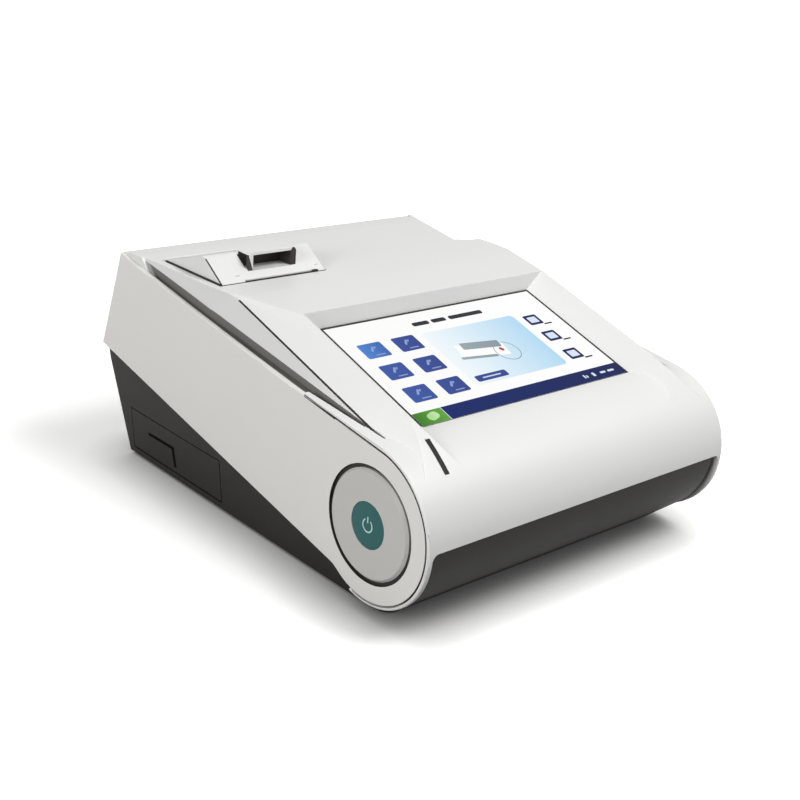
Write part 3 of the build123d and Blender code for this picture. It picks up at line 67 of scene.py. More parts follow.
# %% [markdown]
# The camera
#
# The photograph looks down on the left front corner. Its direction comes from the
# casing's long straight edges, and the distance from how strongly they run together.
# Yaw is measured from straight back, to the right; pitch is downwards; the picture is
# also rolled a little.

# %% Camera
CAMERA_AT = Vector((-511.4, -548.4, 346.3)) * MM
CAMERA_YAW = radians(42.9)
CAMERA_PITCH = radians(20.9)
CAMERA_ROLL = radians(4.5)
FOCAL_PIXELS = 1306.3     # the focal length, in pixels of the photograph
PHOTO_PIXELS = 800
SENSOR_MM = 36.0

view_dir = Vector(
    (sin(CAMERA_YAW) * cos(CAMERA_PITCH), cos(CAMERA_YAW) * cos(CAMERA_PITCH), -sin(CAMERA_PITCH))
)
level_right = Vector((cos(CAMERA_YAW), -sin(CAMERA_YAW), 0))
level_up = level_right.cross(view_dir)
camera_right = cos(CAMERA_ROLL) * level_right + sin(CAMERA_ROLL) * level_up
camera_up = -sin(CAMERA_ROLL) * level_right + cos(CAMERA_ROLL) * level_up

camera_data = bpy.data.cameras.new("camera")
camera_data.sensor_width = SENSOR_MM
camera_data.lens = FOCAL_PIXELS / PHOTO_PIXELS * SENSOR_MM
camera_data.clip_start = 0.01
camera_data.clip_end = 20.0
camera = bpy.data.objects.new("camera", camera_data)
turn = Matrix((camera_right, camera_up, -view_dir)).transposed().to_4x4()
camera.matrix_world = Matrix.Translation(CAMERA_AT) @ turn
bpy.context.scene.collection.objects.link(camera)
bpy.context.scene.camera = camera
print("lens in mm:", round(camera_data.lens, 2))

# %% [markdown]
# Colours and nodes
#
# Colours are picked as sRGB hex values, as a designer reads them from a chart, and Blender
# shades in linear light, so one function turns the first into the second. Another adds a
# shader node with its settings and links, and every material below is made with it.


# %% Helpers for materials
def linear(hex_colour, alpha=1.0):
    """Linear RGBA of an sRGB hex colour such as 'd0d0ce', by the sRGB standard's curve."""
    channels = []
    for i in (0, 2, 4):
        c = int(hex_colour[i:i + 2], 16) / 255
        channels.append(c / 12.92 if c <= 0.04045 else ((c + 0.055) / 1.055) ** 2.4)
    return (*channels, alpha)


def add_node(material, kind, settings=None, links=None):
    """Adds a node; settings are attributes or input values, links are input sockets by name."""
    node = material.node_tree.nodes.new(kind)
    for name, value in (settings or {}).items():
        if name in node.inputs:
            node.inputs[name].default_value = value
        else:
            setattr(node, name, value)
    for name, source in (links or {}).items():
        material.node_tree.links.new(source, node.inputs[name])
    return node


def new_material(name):
    """An empty node material with its output."""
    material = bpy.data.materials.new(name)
    material.use_nodes = True
    material.node_tree.nodes.clear()
    output = add_node(material, "ShaderNodeOutputMaterial")
    return material, output


def connect(material, source, target):
    """Links an output to an input that has no name of its own."""
    material.node_tree.links.new(source, target)


print("sRGB 808080 in linear light:", round(linear("808080")[0], 3))

# %% [markdown]
# Moulded ABS
#
# The casing is injection-moulded ABS. The mould is spark-eroded, which leaves a fine even
# grain that spreads highlights, so the surface is satin and never mirror-like. The real
# grain is about 0.1 mm, too fine to show here, so it is drawn at about 0.7 mm and kept
# shallow. A second, much larger pattern makes the roughness and the colour drift slightly,
# as flow in the mould does. An image of a surface would do the same, but noise in Object
# coordinates needs no unwrapping and runs on without a seam.


# %% Moulded ABS
MOTTLED = 0.97            # share of the colour that is left where the drift is darkest
FLOW_MM = 60.0            # size of the drifting patches
GRAIN_STRENGTH = 0.35
ABS_IOR = 1.53


def moulded_abs(name, colour, roughness, shine=0.5, grain_mm=0.7, grain_height=0.02, drift=0.04):
    """Satin plastic; shine is how strongly it reflects, drift the change in roughness."""
    material, output = new_material(name)
    place = add_node(material, "ShaderNodeTexCoord")
    grain = add_node(
        material, "ShaderNodeTexNoise",
        {"Scale": 1 / (grain_mm * MM), "Detail": 2.0, "Roughness": 0.6},
        {"Vector": place.outputs["Object"]},
    )
    flow = add_node(
        material, "ShaderNodeTexNoise",
        {"Scale": 1 / (FLOW_MM * MM), "Detail": 2.0},
        {"Vector": place.outputs["Object"]},
    )
    rough = add_node(
        material, "ShaderNodeMapRange",
        {"To Min": roughness - drift, "To Max": roughness + drift},
        {"Value": flow.outputs["Fac"]},
    )
    full = linear(colour)
    shade = add_node(material, "ShaderNodeValToRGB", links={"Fac": flow.outputs["Fac"]})
    shade.color_ramp.elements[0].color = (*[c * MOTTLED for c in full[:3]], 1)
    shade.color_ramp.elements[1].color = full
    bump = add_node(
        material, "ShaderNodeBump",
        {"Strength": GRAIN_STRENGTH, "Distance": grain_height * MM},
        {"Height": grain.outputs["Fac"]},
    )
    surface = add_node(
        material, "ShaderNodeBsdfPrincipled", {"IOR": ABS_IOR, "Specular IOR Level": shine},
        {
            "Base Color": shade.outputs["Color"],
            "Roughness": rough.outputs["Result"],
            "Normal": bump.outputs["Normal"],
        },
    )
    connect(material, surface.outputs["BSDF"], output.inputs["Surface"])
    return material


# %% The plastics of the casing
# The cover is a soft white that keeps its shading on the round nose.
WHITE_ABS = moulded_abs("white_moulded_abs", "d9d9d7", 0.45)
# The cheeks are warmer and a little smoother, and the caps in them a step darker.
WARM_GREY_ABS = moulded_abs("warm_grey_moulded_abs", "dad8d4", 0.40)
CAP_GREY_ABS = moulded_abs("cap_grey_moulded_abs", "b9b7b3", 0.40)
# Painted shade: nearly black, with hardly a highlight, on the cheeks' edges at their joints,
# inside the door's pull and along the door's corner.
PAINTED_SHADE_ABS = moulded_abs("painted_shade_abs", "35322f", 0.6, shine=0.2)
# Inner mouldings are a cool light grey, as parts that are seldom seen are.
LIGHT_GREY_ABS = moulded_abs("light_grey_moulded_abs", "b9bcbd", 0.48)
# The base is a warm charcoal that stays dark under the studio's white.
DARK_GREY_ABS = moulded_abs("dark_grey_moulded_abs", "252322", 0.5, shine=0.12, drift=0.06)
# The strips in the grooves are a matt middle grey.
GROOVE_ABS = moulded_abs("groove_grey_moulded_abs", "6d6c69", 0.55, shine=0.3)
BLACK_ABS = moulded_abs("black_moulded_abs", "1b1b1c", 0.55)
# Gears are acetal, milky and slightly waxy.
GEAR_ACETAL = moulded_abs("natural_acetal", "d9d6cb", 0.38)
print("moulded plastics:", [material.name for material in bpy.data.materials])

# %% [markdown]
# The other finishes
#
# The button is a smoother teal plastic. Seals, feet and the platen are black rubber, matt
# with a faint bloom. Sheet steel is rolled, so its grain runs one way. Circuit boards are
# glass-epoxy under a green solder mask. The screen's cover glass is chemically hardened
# glass over a lit panel. They differ in their numbers but not in their build, so one
# function makes them all, and none comes out perfectly even.


# %% One function for the plain finishes
MOTTLE_STRENGTH = 0.2
MOTTLE_HEIGHT = 0.02
COAT_ROUGHNESS = 0.12


def plain_finish(
    name, colour, roughness, metallic=0.0, coat=0.0, shine=0.5, speck_mm=1.5, speck=0.08,
    stretch=(1, 1, 1),
):
    """A plain finish with a faint mottle; a small stretch on an axis draws it out that way."""
    material, output = new_material(name)
    place = add_node(material, "ShaderNodeTexCoord")
    drawn = add_node(
        material, "ShaderNodeMapping", {"Scale": stretch}, {"Vector": place.outputs["Object"]},
    )
    mottle = add_node(
        material, "ShaderNodeTexNoise",
        {"Scale": 1 / (speck_mm * MM), "Detail": 3.0},
        {"Vector": drawn.outputs["Vector"]},
    )
    rough = add_node(
        material, "ShaderNodeMapRange",
        {"To Min": roughness * (1 - speck), "To Max": roughness * (1 + speck)},
        {"Value": mottle.outputs["Fac"]},
    )
    bump = add_node(
        material, "ShaderNodeBump",
        {"Strength": MOTTLE_STRENGTH, "Distance": MOTTLE_HEIGHT * MM},
        {"Height": mottle.outputs["Fac"]},
    )
    surface = add_node(
        material, "ShaderNodeBsdfPrincipled",
        {
            "Metallic": metallic, "Coat Weight": coat, "Coat Roughness": COAT_ROUGHNESS,
            "Specular IOR Level": shine,
        },
        {"Roughness": rough.outputs["Result"], "Normal": bump.outputs["Normal"]},
    )
    surface.inputs["Base Color"].default_value = linear(colour)
    connect(material, surface.outputs["BSDF"], output.inputs["Surface"])
    return material


# %% Teal plastic, rubber, steel and the rest
# The button is deep teal and holds its colour to the edge; its sign is a pale pad print.
TEAL_PLASTIC = plain_finish("teal_plastic", "085150", 0.35, shine=0.25)
PALE_INK = plain_finish("pale_printed_ink", "a9cfcb", 0.45, speck_mm=0.5)
# Three rubbers: worn black; a dark one with a soft sheen, painted shade in the gaps round the
# caps, along the seams and round the door; and a near-black one that swallows light, painted shade
# in the hatch's pocket.
BLACK_RUBBER = plain_finish("black_rubber", "1a1a1a", 0.75, speck_mm=0.8)
GAP_SHADE_RUBBER = plain_finish("gap_shade_rubber", "23201e", 0.7, shine=0.3, speck_mm=0.8)
POCKET_SHADE_RUBBER = plain_finish("pocket_shade_rubber", "080707", 0.85, shine=0.03, speck_mm=0.8)
# Rolling draws the steel's grain out along the sheet.
SHEET_STEEL = plain_finish(
    "rolled_sheet_steel", "9c9ea1", 0.36, metallic=1.0, stretch=(0.05, 1, 1)
)
# Lacquer gives the boards a thin clear gloss, and shrink film does so on the battery.
GREEN_BOARD = plain_finish("green_solder_mask", "14552b", 0.35, coat=0.3)
BATTERY_WRAP = plain_finish("blue_shrink_wrap", "22407e", 0.3, coat=0.3)
THERMAL_PAPER = plain_finish("thermal_paper", "eeeeea", 0.6, speck_mm=0.4)
# The lens is smoked polycarbonate, nearly black while its light is off.
SMOKED_LENS = plain_finish("smoked_lens", "1c1e1d", 0.4, shine=0.12)
COVER_GLASS = plain_finish("black_backed_glass", "0b0d10", 0.06, coat=0.5, speck_mm=20)
print("finishes so far:", len(bpy.data.materials))

# %% [markdown]
# The floor
#
# The photograph has no horizon, only white and a soft shadow. A wide white floor takes the shadow.
# A lamp that made it pure white would burn out the white casing, so the floor gives off a little
# light of its own, which only the camera and reflections see, and more of it further out. Close to
# the casing an ambient occlusion node takes that light away again, and also darkens the floor's
# own colour to a brown: a painted contact shadow along the casing's foot.

# %% Floor
FLOOR_HALF = 6.0
floor_mesh = bmesh.new()
bmesh.ops.create_grid(floor_mesh, x_segments=1, y_segments=1, size=FLOOR_HALF)
floor_data = bpy.data.meshes.new("floor")
floor_mesh.to_mesh(floor_data)
floor_mesh.free()
floor = bpy.data.objects.new("floor", floor_data)
bpy.context.scene.collection.objects.link(floor)
print("floor:", 2 * FLOOR_HALF, "m across")

# %% How the floor looks
CONTACT_REACH = 0.035     # how far the painted contact shadow spreads from the casing
CONTACT_SHADOW_BROWN = "2b2521"
FLOOR_WHITE = "fbfbfa"
BOUNCE_GREY = "6c6c6c"    # the floor as it lights the object from below
LIFT_REACH = (0.25, 1.1)  # the floor's own light grows over this distance, in metres
LIFT = (0.32, 1.0)        # from beside the object to as white as the backdrop

floor_material, floor_output = new_material("studio_floor")
floor_place = add_node(floor_material, "ShaderNodeTexCoord")
floor_reach = add_node(floor_material, "ShaderNodeVectorMath", {"operation": "LENGTH"})
connect(floor_material, floor_place.outputs["Object"], floor_reach.inputs[0])
floor_lift = add_node(
    floor_material, "ShaderNodeMapRange",
    {
        "From Min": LIFT_REACH[0], "From Max": LIFT_REACH[1],
        "To Min": LIFT[0], "To Max": LIFT[1],
    },
    {"Value": floor_reach.outputs["Value"]},
)
openness = add_node(
    floor_material, "ShaderNodeAmbientOcclusion", {"Distance": CONTACT_REACH, "samples": 12},
)
open_lift = add_node(floor_material, "ShaderNodeMath", {"operation": "MULTIPLY"})
connect(floor_material, floor_lift.outputs["Result"], open_lift.inputs[0])
connect(floor_material, openness.outputs["AO"], open_lift.inputs[1])
# The floor's colour runs from brown beside the casing to white further off: painted contact
# shadow.
floor_shade = add_node(floor_material, "ShaderNodeValToRGB", links={"Fac": openness.outputs["AO"]})
floor_shade.color_ramp.elements[0].color = linear(CONTACT_SHADOW_BROWN)
floor_shade.color_ramp.elements[1].color = linear(FLOOR_WHITE)
floor_paths = add_node(floor_material, "ShaderNodeLightPath")
seen = add_node(floor_material, "ShaderNodeMath", {"operation": "MAXIMUM"})
connect(floor_material, floor_paths.outputs["Is Camera Ray"], seen.inputs[0])
connect(floor_material, floor_paths.outputs["Is Glossy Ray"], seen.inputs[1])
unseen_floor = add_node(floor_material, "ShaderNodeBsdfDiffuse")
unseen_floor.inputs["Color"].default_value = linear(BOUNCE_GREY)
seen_floor = add_node(
    floor_material, "ShaderNodeBsdfDiffuse", links={"Color": floor_shade.outputs["Color"]},
)
glow = add_node(
    floor_material, "ShaderNodeEmission", links={"Strength": open_lift.outputs["Value"]},
)
white_floor = add_node(floor_material, "ShaderNodeAddShader")
connect(floor_material, seen_floor.outputs["BSDF"], white_floor.inputs[0])
connect(floor_material, glow.outputs["Emission"], white_floor.inputs[1])
floor_look = add_node(floor_material, "ShaderNodeMixShader", links={"Fac": seen.outputs["Value"]})
connect(floor_material, unseen_floor.outputs["BSDF"], floor_look.inputs[1])
connect(floor_material, white_floor.outputs["Shader"], floor_look.inputs[2])
connect(floor_material, floor_look.outputs["Shader"], floor_output.inputs["Surface"])
floor_data.materials.append(floor_material)
print("floor nodes:", len(floor_material.node_tree.nodes))

# %% [markdown]
# The sky
#
# The object is lit all round by a pale sky that is brighter overhead, so that its sides fall
# off softly. The camera, reflections and clear parts see plain white instead: a Light Path
# node tells these rays apart, and white of strength 1 is the white of the page.

# %% Sky
SKY_LOW = 0.06
SKY_HIGH = 0.34
SKY_FULL_FROM = 0.8       # how high a direction points before the sky is at its brightest
WHITE = (1, 1, 1, 1)

world = bpy.data.worlds.new("studio")
bpy.context.scene.world = world
world.use_nodes = True
world.node_tree.nodes.clear()
world_paths = add_node(world, "ShaderNodeLightPath")
reflected = add_node(world, "ShaderNodeMath", {"operation": "MAXIMUM"})
connect(world, world_paths.outputs["Is Glossy Ray"], reflected.inputs[0])
connect(world, world_paths.outputs["Is Transmission Ray"], reflected.inputs[1])
backdrop_ray = add_node(world, "ShaderNodeMath", {"operation": "MAXIMUM"})
connect(world, world_paths.outputs["Is Camera Ray"], backdrop_ray.inputs[0])
connect(world, reflected.outputs["Value"], backdrop_ray.inputs[1])
sky_place = add_node(world, "ShaderNodeTexCoord")
sky_axes = add_node(
    world, "ShaderNodeSeparateXYZ", links={"Vector": sky_place.outputs["Generated"]}
)
sky_height = add_node(
    world, "ShaderNodeMapRange",
    {"From Min": 0.0, "From Max": SKY_FULL_FROM, "To Min": SKY_LOW, "To Max": SKY_HIGH},
    {"Value": sky_axes.outputs["Z"]},
)
sky = add_node(world, "ShaderNodeBackground", links={"Strength": sky_height.outputs["Result"]})
sky.inputs["Color"].default_value = WHITE
white = add_node(world, "ShaderNodeBackground", {"Strength": 1.0})
white.inputs["Color"].default_value = WHITE
sky_look = add_node(world, "ShaderNodeMixShader", links={"Fac": backdrop_ray.outputs["Value"]})
connect(world, sky.outputs["Background"], sky_look.inputs[1])
connect(world, white.outputs["Background"], sky_look.inputs[2])
world_output = add_node(world, "ShaderNodeOutputWorld")
connect(world, sky_look.outputs["Shader"], world_output.inputs["Surface"])
print("sky:", SKY_LOW, "to", SKY_HIGH)

# %% [markdown]
# The lamps
#
# A broad soft box stands above and in front, and makes the bright band along the nose. A
# second one on the left lights the cheek. Large lamps give the wide soft shadow edges that a
# photographer's tent gives, where a small lamp or a sun would draw them hard. The Standard
# view transform shows the hex colours as they were picked.

# %% Lamps
LIT_POINT = Vector((0, 0, 0.06))        # about the middle of the object, in metres


def soft_box(name, at, size, watts):
    """A square area light that faces the object."""
    light = bpy.data.lights.new(name, "AREA")
    light.shape = "SQUARE"
    light.size = size
    light.energy = watts
    lamp = bpy.data.objects.new(name, light)
    aim = (LIT_POINT - Vector(at)).to_track_quat("-Z", "Y")
    lamp.matrix_world = Matrix.Translation(at) @ aim.to_matrix().to_4x4()
    bpy.context.scene.collection.objects.link(lamp)
    print(name, watts, "W")


soft_box("key_light", (0.48, -0.85, 1.45), 0.75, 22.5)
soft_box("left_light", (-1.65, -0.3, 0.6), 0.8, 19.5)
bpy.context.scene.view_settings.view_transform = "Standard"

# %% [markdown]
# Moulded edges
#
# A CAD solid has perfectly sharp edges, and no moulded part has: each edge has a radius,
# which catches a thin line of light. A copy of the solid's mesh has its doubles merged and
# its flat faces joined, and a Bevel modifier rounds the edges that carry a weight. A bevel
# by angle alone would also round the facets of curved surfaces, and would tear where a
# face is narrower than the radius, so the edges are picked here: each unbroken chain of
# edges gets one weight, and a chain without room stays sharp. The copy then replaces the
# node, which stays for collision.


# %% Which edges are rounded
SHARP_TURN = 30           # degrees; every edge that turns by more is rounded
CREASE_TURN = 1.5         # an edge between two wide faces is rounded from here on
WIDE_MM = 9.0             # the facets of curved surfaces are narrower than this


def face_width(face):
    return face.calc_area() / max(edge.calc_length() for edge in face.edges)


def is_rounded(edge):
    """Whether the real part has a radius here, and not just a facet of a curved surface."""
    if len(edge.link_faces) != 2 or not edge.is_manifold:
        return False
    turn = degrees(edge.calc_face_angle(0))
    if turn > SHARP_TURN:
        return True
    return turn > CREASE_TURN and all(face_width(f) > WIDE_MM * MM for f in edge.link_faces)


# %% Edges that run on from each other
def edge_chains(edges):
    """Groups edges that run on from each other, so that each whole line gets one radius."""
    at_vertex = {}
    for edge in edges:
        for vert in edge.verts:
            at_vertex.setdefault(vert, []).append(edge)
    left = set(edges)
    while left:
        chain = [left.pop()]
        for edge in chain:
            for vert in edge.verts:
                meeting = at_vertex[vert]
                if len(meeting) == 2:
                    for other in meeting:
                        if other in left:
                            left.remove(other)
                            chain.append(other)
        yield chain


# %% How much of its radius a chain of edges has room for
ROOM_USED = 0.4           # a radius takes at most this share of the narrowest face beside it
LEAST_SHARE = 0.5         # a chain with room for less than this share of its radius stays sharp


def room_beside(edge):
    """How far both faces reach from the edge, square to it; the radius has to fit in there."""
    start, end = (vert.co for vert in edge.verts)
    along = (end - start).normalized()
    reach = []
    for face in edge.link_faces:
        offsets = (vert.co - start for vert in face.verts)
        reach.append(max((offset - offset.dot(along) * along).length for offset in offsets))
    return min(reach)


def weigh_edges(work, edge_mm, least_run_mm):
    """Gives each chain its bevel weight, and returns how many edges will be rounded."""
    weight = work.edges.layers.float.new("bevel_weight_edge")
    rounded = 0
    for chain in edge_chains([edge for edge in work.edges if is_rounded(edge)]):
        room = ROOM_USED * min(room_beside(edge) for edge in chain)
        share = room / (edge_mm * MM) if edge_mm else 0
        if sum(edge.calc_length() for edge in chain) < least_run_mm * MM:
            share = 0
        for edge in chain:
            edge.smooth = share > LEAST_SHARE
            if edge.smooth:
                edge[weight] = min(1.0, share)
                rounded += 1
    return rounded


# %% Copy a solid with rounded edges
MERGE_WITHIN = 2e-6       # in metres; the corners of the node's triangles are this close
FLAT_WITHIN = 0.3         # degrees; faces that turn by less are one flat face


def moulded_copy(node, material, edge_mm, least_run_mm=0.0, second=None):
    """Replaces a CAD node by a copy with rounded edges.

    second is another finish and the test for its faces, and the Y in mm where it may end.
    """
    source = frame["nodes"][node]
    work = bmesh.new()
    work.from_mesh(source.data)
    bmesh.ops.remove_doubles(work, verts=work.verts, dist=MERGE_WITHIN)
    bmesh.ops.dissolve_limit(
        work, angle_limit=radians(FLAT_WITHIN), verts=work.verts, edges=work.edges,
        delimit={"NORMAL"},
    )
    if second and len(second) > 2:
        bmesh.ops.bisect_plane(
            work, geom=[*work.verts, *work.edges, *work.faces], dist=1e-6,
            plane_co=(0, second[2] * MM, 0), plane_no=(0, 1, 0),
        )
    for face in work.faces:
        face.smooth = True
        face.material_index = int(second is not None and second[1](face))
    dark = sum(face.material_index for face in work.faces)
    rounded = weigh_edges(work, edge_mm, least_run_mm)
    data = bpy.data.meshes.new(node + "_moulded")
    data.materials.append(material)
    if second:
        data.materials.append(second[0])
    work.to_mesh(data)
    work.free()
    piece = bpy.data.objects.new(node + "_moulded", data)
    bpy.context.scene.collection.objects.link(piece)
    if edge_mm:
        bevel = piece.modifiers.new("rounded_edges", "BEVEL")
        bevel.width = edge_mm * MM
        bevel.segments = 2
        bevel.limit_method = "WEIGHT"
        bevel.use_clamp_overlap = False
        bevel.loop_slide = False
        normals = piece.modifiers.new("flat_faces_stay_flat", "WEIGHTED_NORMAL")
        normals.keep_sharp = True
    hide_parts(node)
    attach(piece, source["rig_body"])
    print(node, "has", len(data.polygons), "faces,", dark, "dark;", rounded, "rounded edges")


# %% A helper for new pieces
def add_piece(name, work, material, body):
    """Makes an object of the mesh, gives it its finish and lets it ride on a body."""
    bmesh.ops.recalc_face_normals(work, faces=work.faces)
    data = bpy.data.meshes.new(name)
    work.to_mesh(data)
    work.free()
    data.materials.append(material)
    piece = bpy.data.objects.new(name, data)
    bpy.context.scene.collection.objects.link(piece)
    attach(piece, body)
    return piece


# %% [markdown]
# Second finishes: painted shade
#
# Some mouldings get painted shade on a few of their faces: the cheek's rounded edge beside the
# cover's rim and above the base, where the joint throws shade, and the inside of the arched pull
# on the printer's door, where shade falls. A second, near-black material on those faces keeps the
# piece in one mesh, where a separate insert would have to be fitted to it.

# %% Which faces get painted shade
RIM_REACH_Y = -52.0       # in front of this the cover's rim lies close against the cheek
EDGE_SIDEWAYS = 0.88      # a face of the rounded edge points less to the side than this
EDGE_DOWNWARDS = -0.3     # and above the base it points further down than this
PULL_INSIDE = ((-84.1, -53.9), (47.5, 59.1), (140.7, 149.5))      # X, Y and Z
PULL_TURNED = -0.9        # its walls and ceiling point left, to the front or down


def gap_shade_faces(face):
    """The cheek's rounded edge beside the cover's rim and above the base: painted shade of the
    joint.
    """
    beside_rim = face.calc_center_median().y < RIM_REACH_Y * MM
    above_base = face.normal.z < EDGE_DOWNWARDS
    return abs(face.normal.x) < EDGE_SIDEWAYS and (beside_rim or above_base)


def pull_shade_faces(face):
    """The walls and ceiling inside the door's arched pull, which get painted shade."""
    centre = face.calc_center_median() / MM
    inside = all(low < c < high for c, (low, high) in zip(centre, PULL_INSIDE))
    return inside and min(face.normal) < PULL_TURNED


# %% The mouldings and their radii
# Each has its finish, its edge radius in mm, the shortest run of edge that is rounded, and a
# second finish, painted shade, with the test for its faces.
MOULDED = {
    "top_cover": (WHITE_ABS, 0.5),
    "left_side_plate": (WARM_GREY_ABS, 0.0, 0.0, (PAINTED_SHADE_ABS, gap_shade_faces, RIM_REACH_Y)),
    "right_side_plate": (WARM_GREY_ABS, 0.0, 0.0, (PAINTED_SHADE_ABS, gap_shade_faces, RIM_REACH_Y)),
    "left_disc": (CAP_GREY_ABS, 0.0),
    "right_disc": (CAP_GREY_ABS, 0.0),
    "base_tray": (DARK_GREY_ABS, 0.5),
    "printer_door": (WHITE_ABS, 0.3, 45.0, (PAINTED_SHADE_ABS, pull_shade_faces)),
    "side_hatch": (DARK_GREY_ABS, 0.25),
    "power_button": (TEAL_PLASTIC, 0.0),
    "usb_bay": (LIGHT_GREY_ABS, 0.3),
    "usb_sockets": (SHEET_STEEL, 0.2),
    "cartridge_bezel": (WARM_GREY_ABS, 0.3),
    "cartridge_flap": (WARM_GREY_ABS, 0.2),
    "printer_tub": (LIGHT_GREY_ABS, 0.4),
    "rear_port_panel": (LIGHT_GREY_ABS, 0.2),
    "rear_inlet": (BLACK_ABS, 0.2),
    "network_socket": (SHEET_STEEL, 0.2),
    "rubber_feet": (BLACK_RUBBER, 0.0),
    "paper_roll": (THERMAL_PAPER, 0.3),
    "platen_roller": (BLACK_RUBBER, 0.2),
}
for node, choices in MOULDED.items():
    moulded_copy(node, *choices)

# %% [markdown]
# Solids that stay as they are
#
# Small parts, and those inside that only show when a door stands open, need no radius that
# anyone could see. They keep their own mesh and only get a finish.

# %% Finishes of the solids that stay as they are
KEPT = {
    # The caps' seal rings are near black, which also paints the shade in the grooves round the
    # caps.
    GAP_SHADE_RUBBER: ("left_disc_seal", "right_disc_seal"),
    GROOVE_ABS: ("left_groove_strip", "right_groove_strip"),
    COVER_GLASS: ("touch_glass",),
    BLACK_RUBBER: ("display_gasket",),
    SMOKED_LENS: ("status_light_lens",),
    GREEN_BOARD: ("button_switch_board", "status_light_board", "main_board", "power_board"),
    BLACK_ABS: (
        "display_panel", "print_head", "contact_carriage", "barcode_reader",
        "board_connectors", "speaker",
    ),
    SHEET_STEEL: (
        "display_bracket", "door_hinge_pin", "printer_frame", "printer_motor",
        "clamp_solenoid", "casing_screws",
    ),
    GEAR_ACETAL: ("platen_gear", "idler_gear", "motor_pinion"),
    LIGHT_GREY_ABS: ("paper_spindle", "cartridge_guide"),
    BATTERY_WRAP: ("battery_pack",),
}
for material, nodes in KEPT.items():
    for node in nodes:
        data = frame["nodes"][node].data
        data.materials.clear()
        data.materials.append(material)
    print(material.name, "on", len(nodes), "solids")

# %% [markdown]
# The seam beside the screen
#
# A fine dark line of shade runs down the crease between the flat hood and its sloping flank. It is
# painted shade: a painted line would look flat from close by, so it is a slim dark strip laid
# along the crease, a cube stretched between the crease's ends.

# %% Painted shade in the seam
SEAM_X = 110.0                  # the creases, left and right of the middle
SEAM_FRONT = (-103.5, 97.2)     # where they end, as Y and Z
SEAM_REAR = (21.0, 134.6)
SEAM_STOPS = 3.0          # the strip is this much shorter than the crease
SHADE_STRIP_WIDTH = 1.0
SHADE_STRIP_DEEP = 0.5
SHADE_STRIP_LEAN = 0.25          # sideways share of its direction, half-way between hood and flank
seam_run = Vector((0, SEAM_REAR[0] - SEAM_FRONT[0], SEAM_REAR[1] - SEAM_FRONT[1]))
seam_middle = [(front + rear) / 2 for front, rear in zip(SEAM_FRONT, SEAM_REAR)]
shade_strips = bmesh.new()
for side in (-1, 1):
    along = seam_run.normalized()
    up = Vector((SHADE_STRIP_LEAN * side, -along.z, along.y)).normalized()
    across = along.cross(up)
    lie = Matrix((across, along, up)).transposed().to_4x4()
    bmesh.ops.create_cube(shade_strips, size=1, matrix=(
        Matrix.Translation((side * SEAM_X, *seam_middle)) @ lie
        @ Matrix.Diagonal((SHADE_STRIP_WIDTH, seam_run.length - SEAM_STOPS, SHADE_STRIP_DEEP, 1))
    ))
bmesh.ops.scale(shade_strips, vec=(MM, MM, MM), verts=shade_strips.verts)
seam_shade_strips = add_piece("seam_shade_strips", shade_strips, GAP_SHADE_RUBBER, "casing")
print("seam seals, each in mm:", round(seam_run.length - SEAM_STOPS, 1))

# %% [markdown]
# The shade round the printer's door
#
# Shade falls in the gap along the door's left and front sides and shows as a dark line. It is
# painted shade: dark strips laid in the gap, wider in front under the slot where the paper comes
# out, and ending in a small dark block. All their sides are straight, so cubes are enough. They
# stand clear of the door's path.

# %% Painted shade round the door
DOOR_GAP_SHADE = (                                            # lowest and highest corners
    ((-107.9, 41.2, 134.2), (-106.65, 99.0, 136.9)),     # left side
    ((-107.9, 41.1, 134.2), (-32.3, 41.85, 136.3)),      # front
    ((-89.6, 41.2, 134.2), (-38.4, 42.9, 136.5)),        # under the paper slot
    ((-41.8, 41.0, 134.2), (-38.3, 42.9, 137.4)),        # the small dark block at its end
)
door_gap_shade = bmesh.new()
for low, high in DOOR_GAP_SHADE:
    size_mm = [b - a for a, b in zip(low, high)]
    centre = [(a + b) / 2 for a, b in zip(low, high)]
    bmesh.ops.create_cube(door_gap_shade, size=1, matrix=(
        Matrix.Translation(centre) @ Matrix.Diagonal((*size_mm, 1))
    ))
bmesh.ops.scale(door_gap_shade, vec=(MM, MM, MM), verts=door_gap_shade.verts)
door_gap_shade_piece = add_piece("door_gap_shade", door_gap_shade, GAP_SHADE_RUBBER, "casing")
print("door seal:", len(DOOR_GAP_SHADE), "strips")

# %% [markdown]
# The shade on the door's corner
#
# A thin dark line runs up the corner between the door's front slope and its left side, the shade
# in a joint in the moulding. It is painted shade: a dark finish on a face would need a face that
# narrow, so it is a slim dark bar, sunk in the corner until only a hair of it stands out. It rides
# on the door.

# %% Painted shade on the door's corner
DOOR_FOOT = Vector((-106.25, 42.0, 136.4))      # the front left corner of the door
DOOR_SLOPE = Vector((0, 19.0, 12.6)).normalized()
DOOR_SHADE_BAR = (0.7, 20.0, 0.4)                    # width, length and thickness
SHADE_BAR_FROM = 0.3
SHADE_BAR_SUNK = 0.12
door_shade_bar = bmesh.new()
shade_bar_out = Vector((0, -DOOR_SLOPE.z, DOOR_SLOPE.y))
shade_bar_middle = DOOR_FOOT + DOOR_SLOPE * (DOOR_SHADE_BAR[1] / 2 + SHADE_BAR_FROM) - shade_bar_out * SHADE_BAR_SUNK
bmesh.ops.create_cube(door_shade_bar, size=1, matrix=(
    Matrix.Translation(shade_bar_middle)
    @ Matrix((Vector((1, 0, 0)), DOOR_SLOPE, shade_bar_out)).transposed().to_4x4()
    @ Matrix.Diagonal((*DOOR_SHADE_BAR, 1))
))
bmesh.ops.scale(door_shade_bar, vec=(MM, MM, MM), verts=door_shade_bar.verts)
door_shade_bar_piece = add_piece("door_shade_bar", door_shade_bar, PAINTED_SHADE_ABS, "printer_door")
print("door trim, middle in mm:", [round(c, 1) for c in shade_bar_middle])
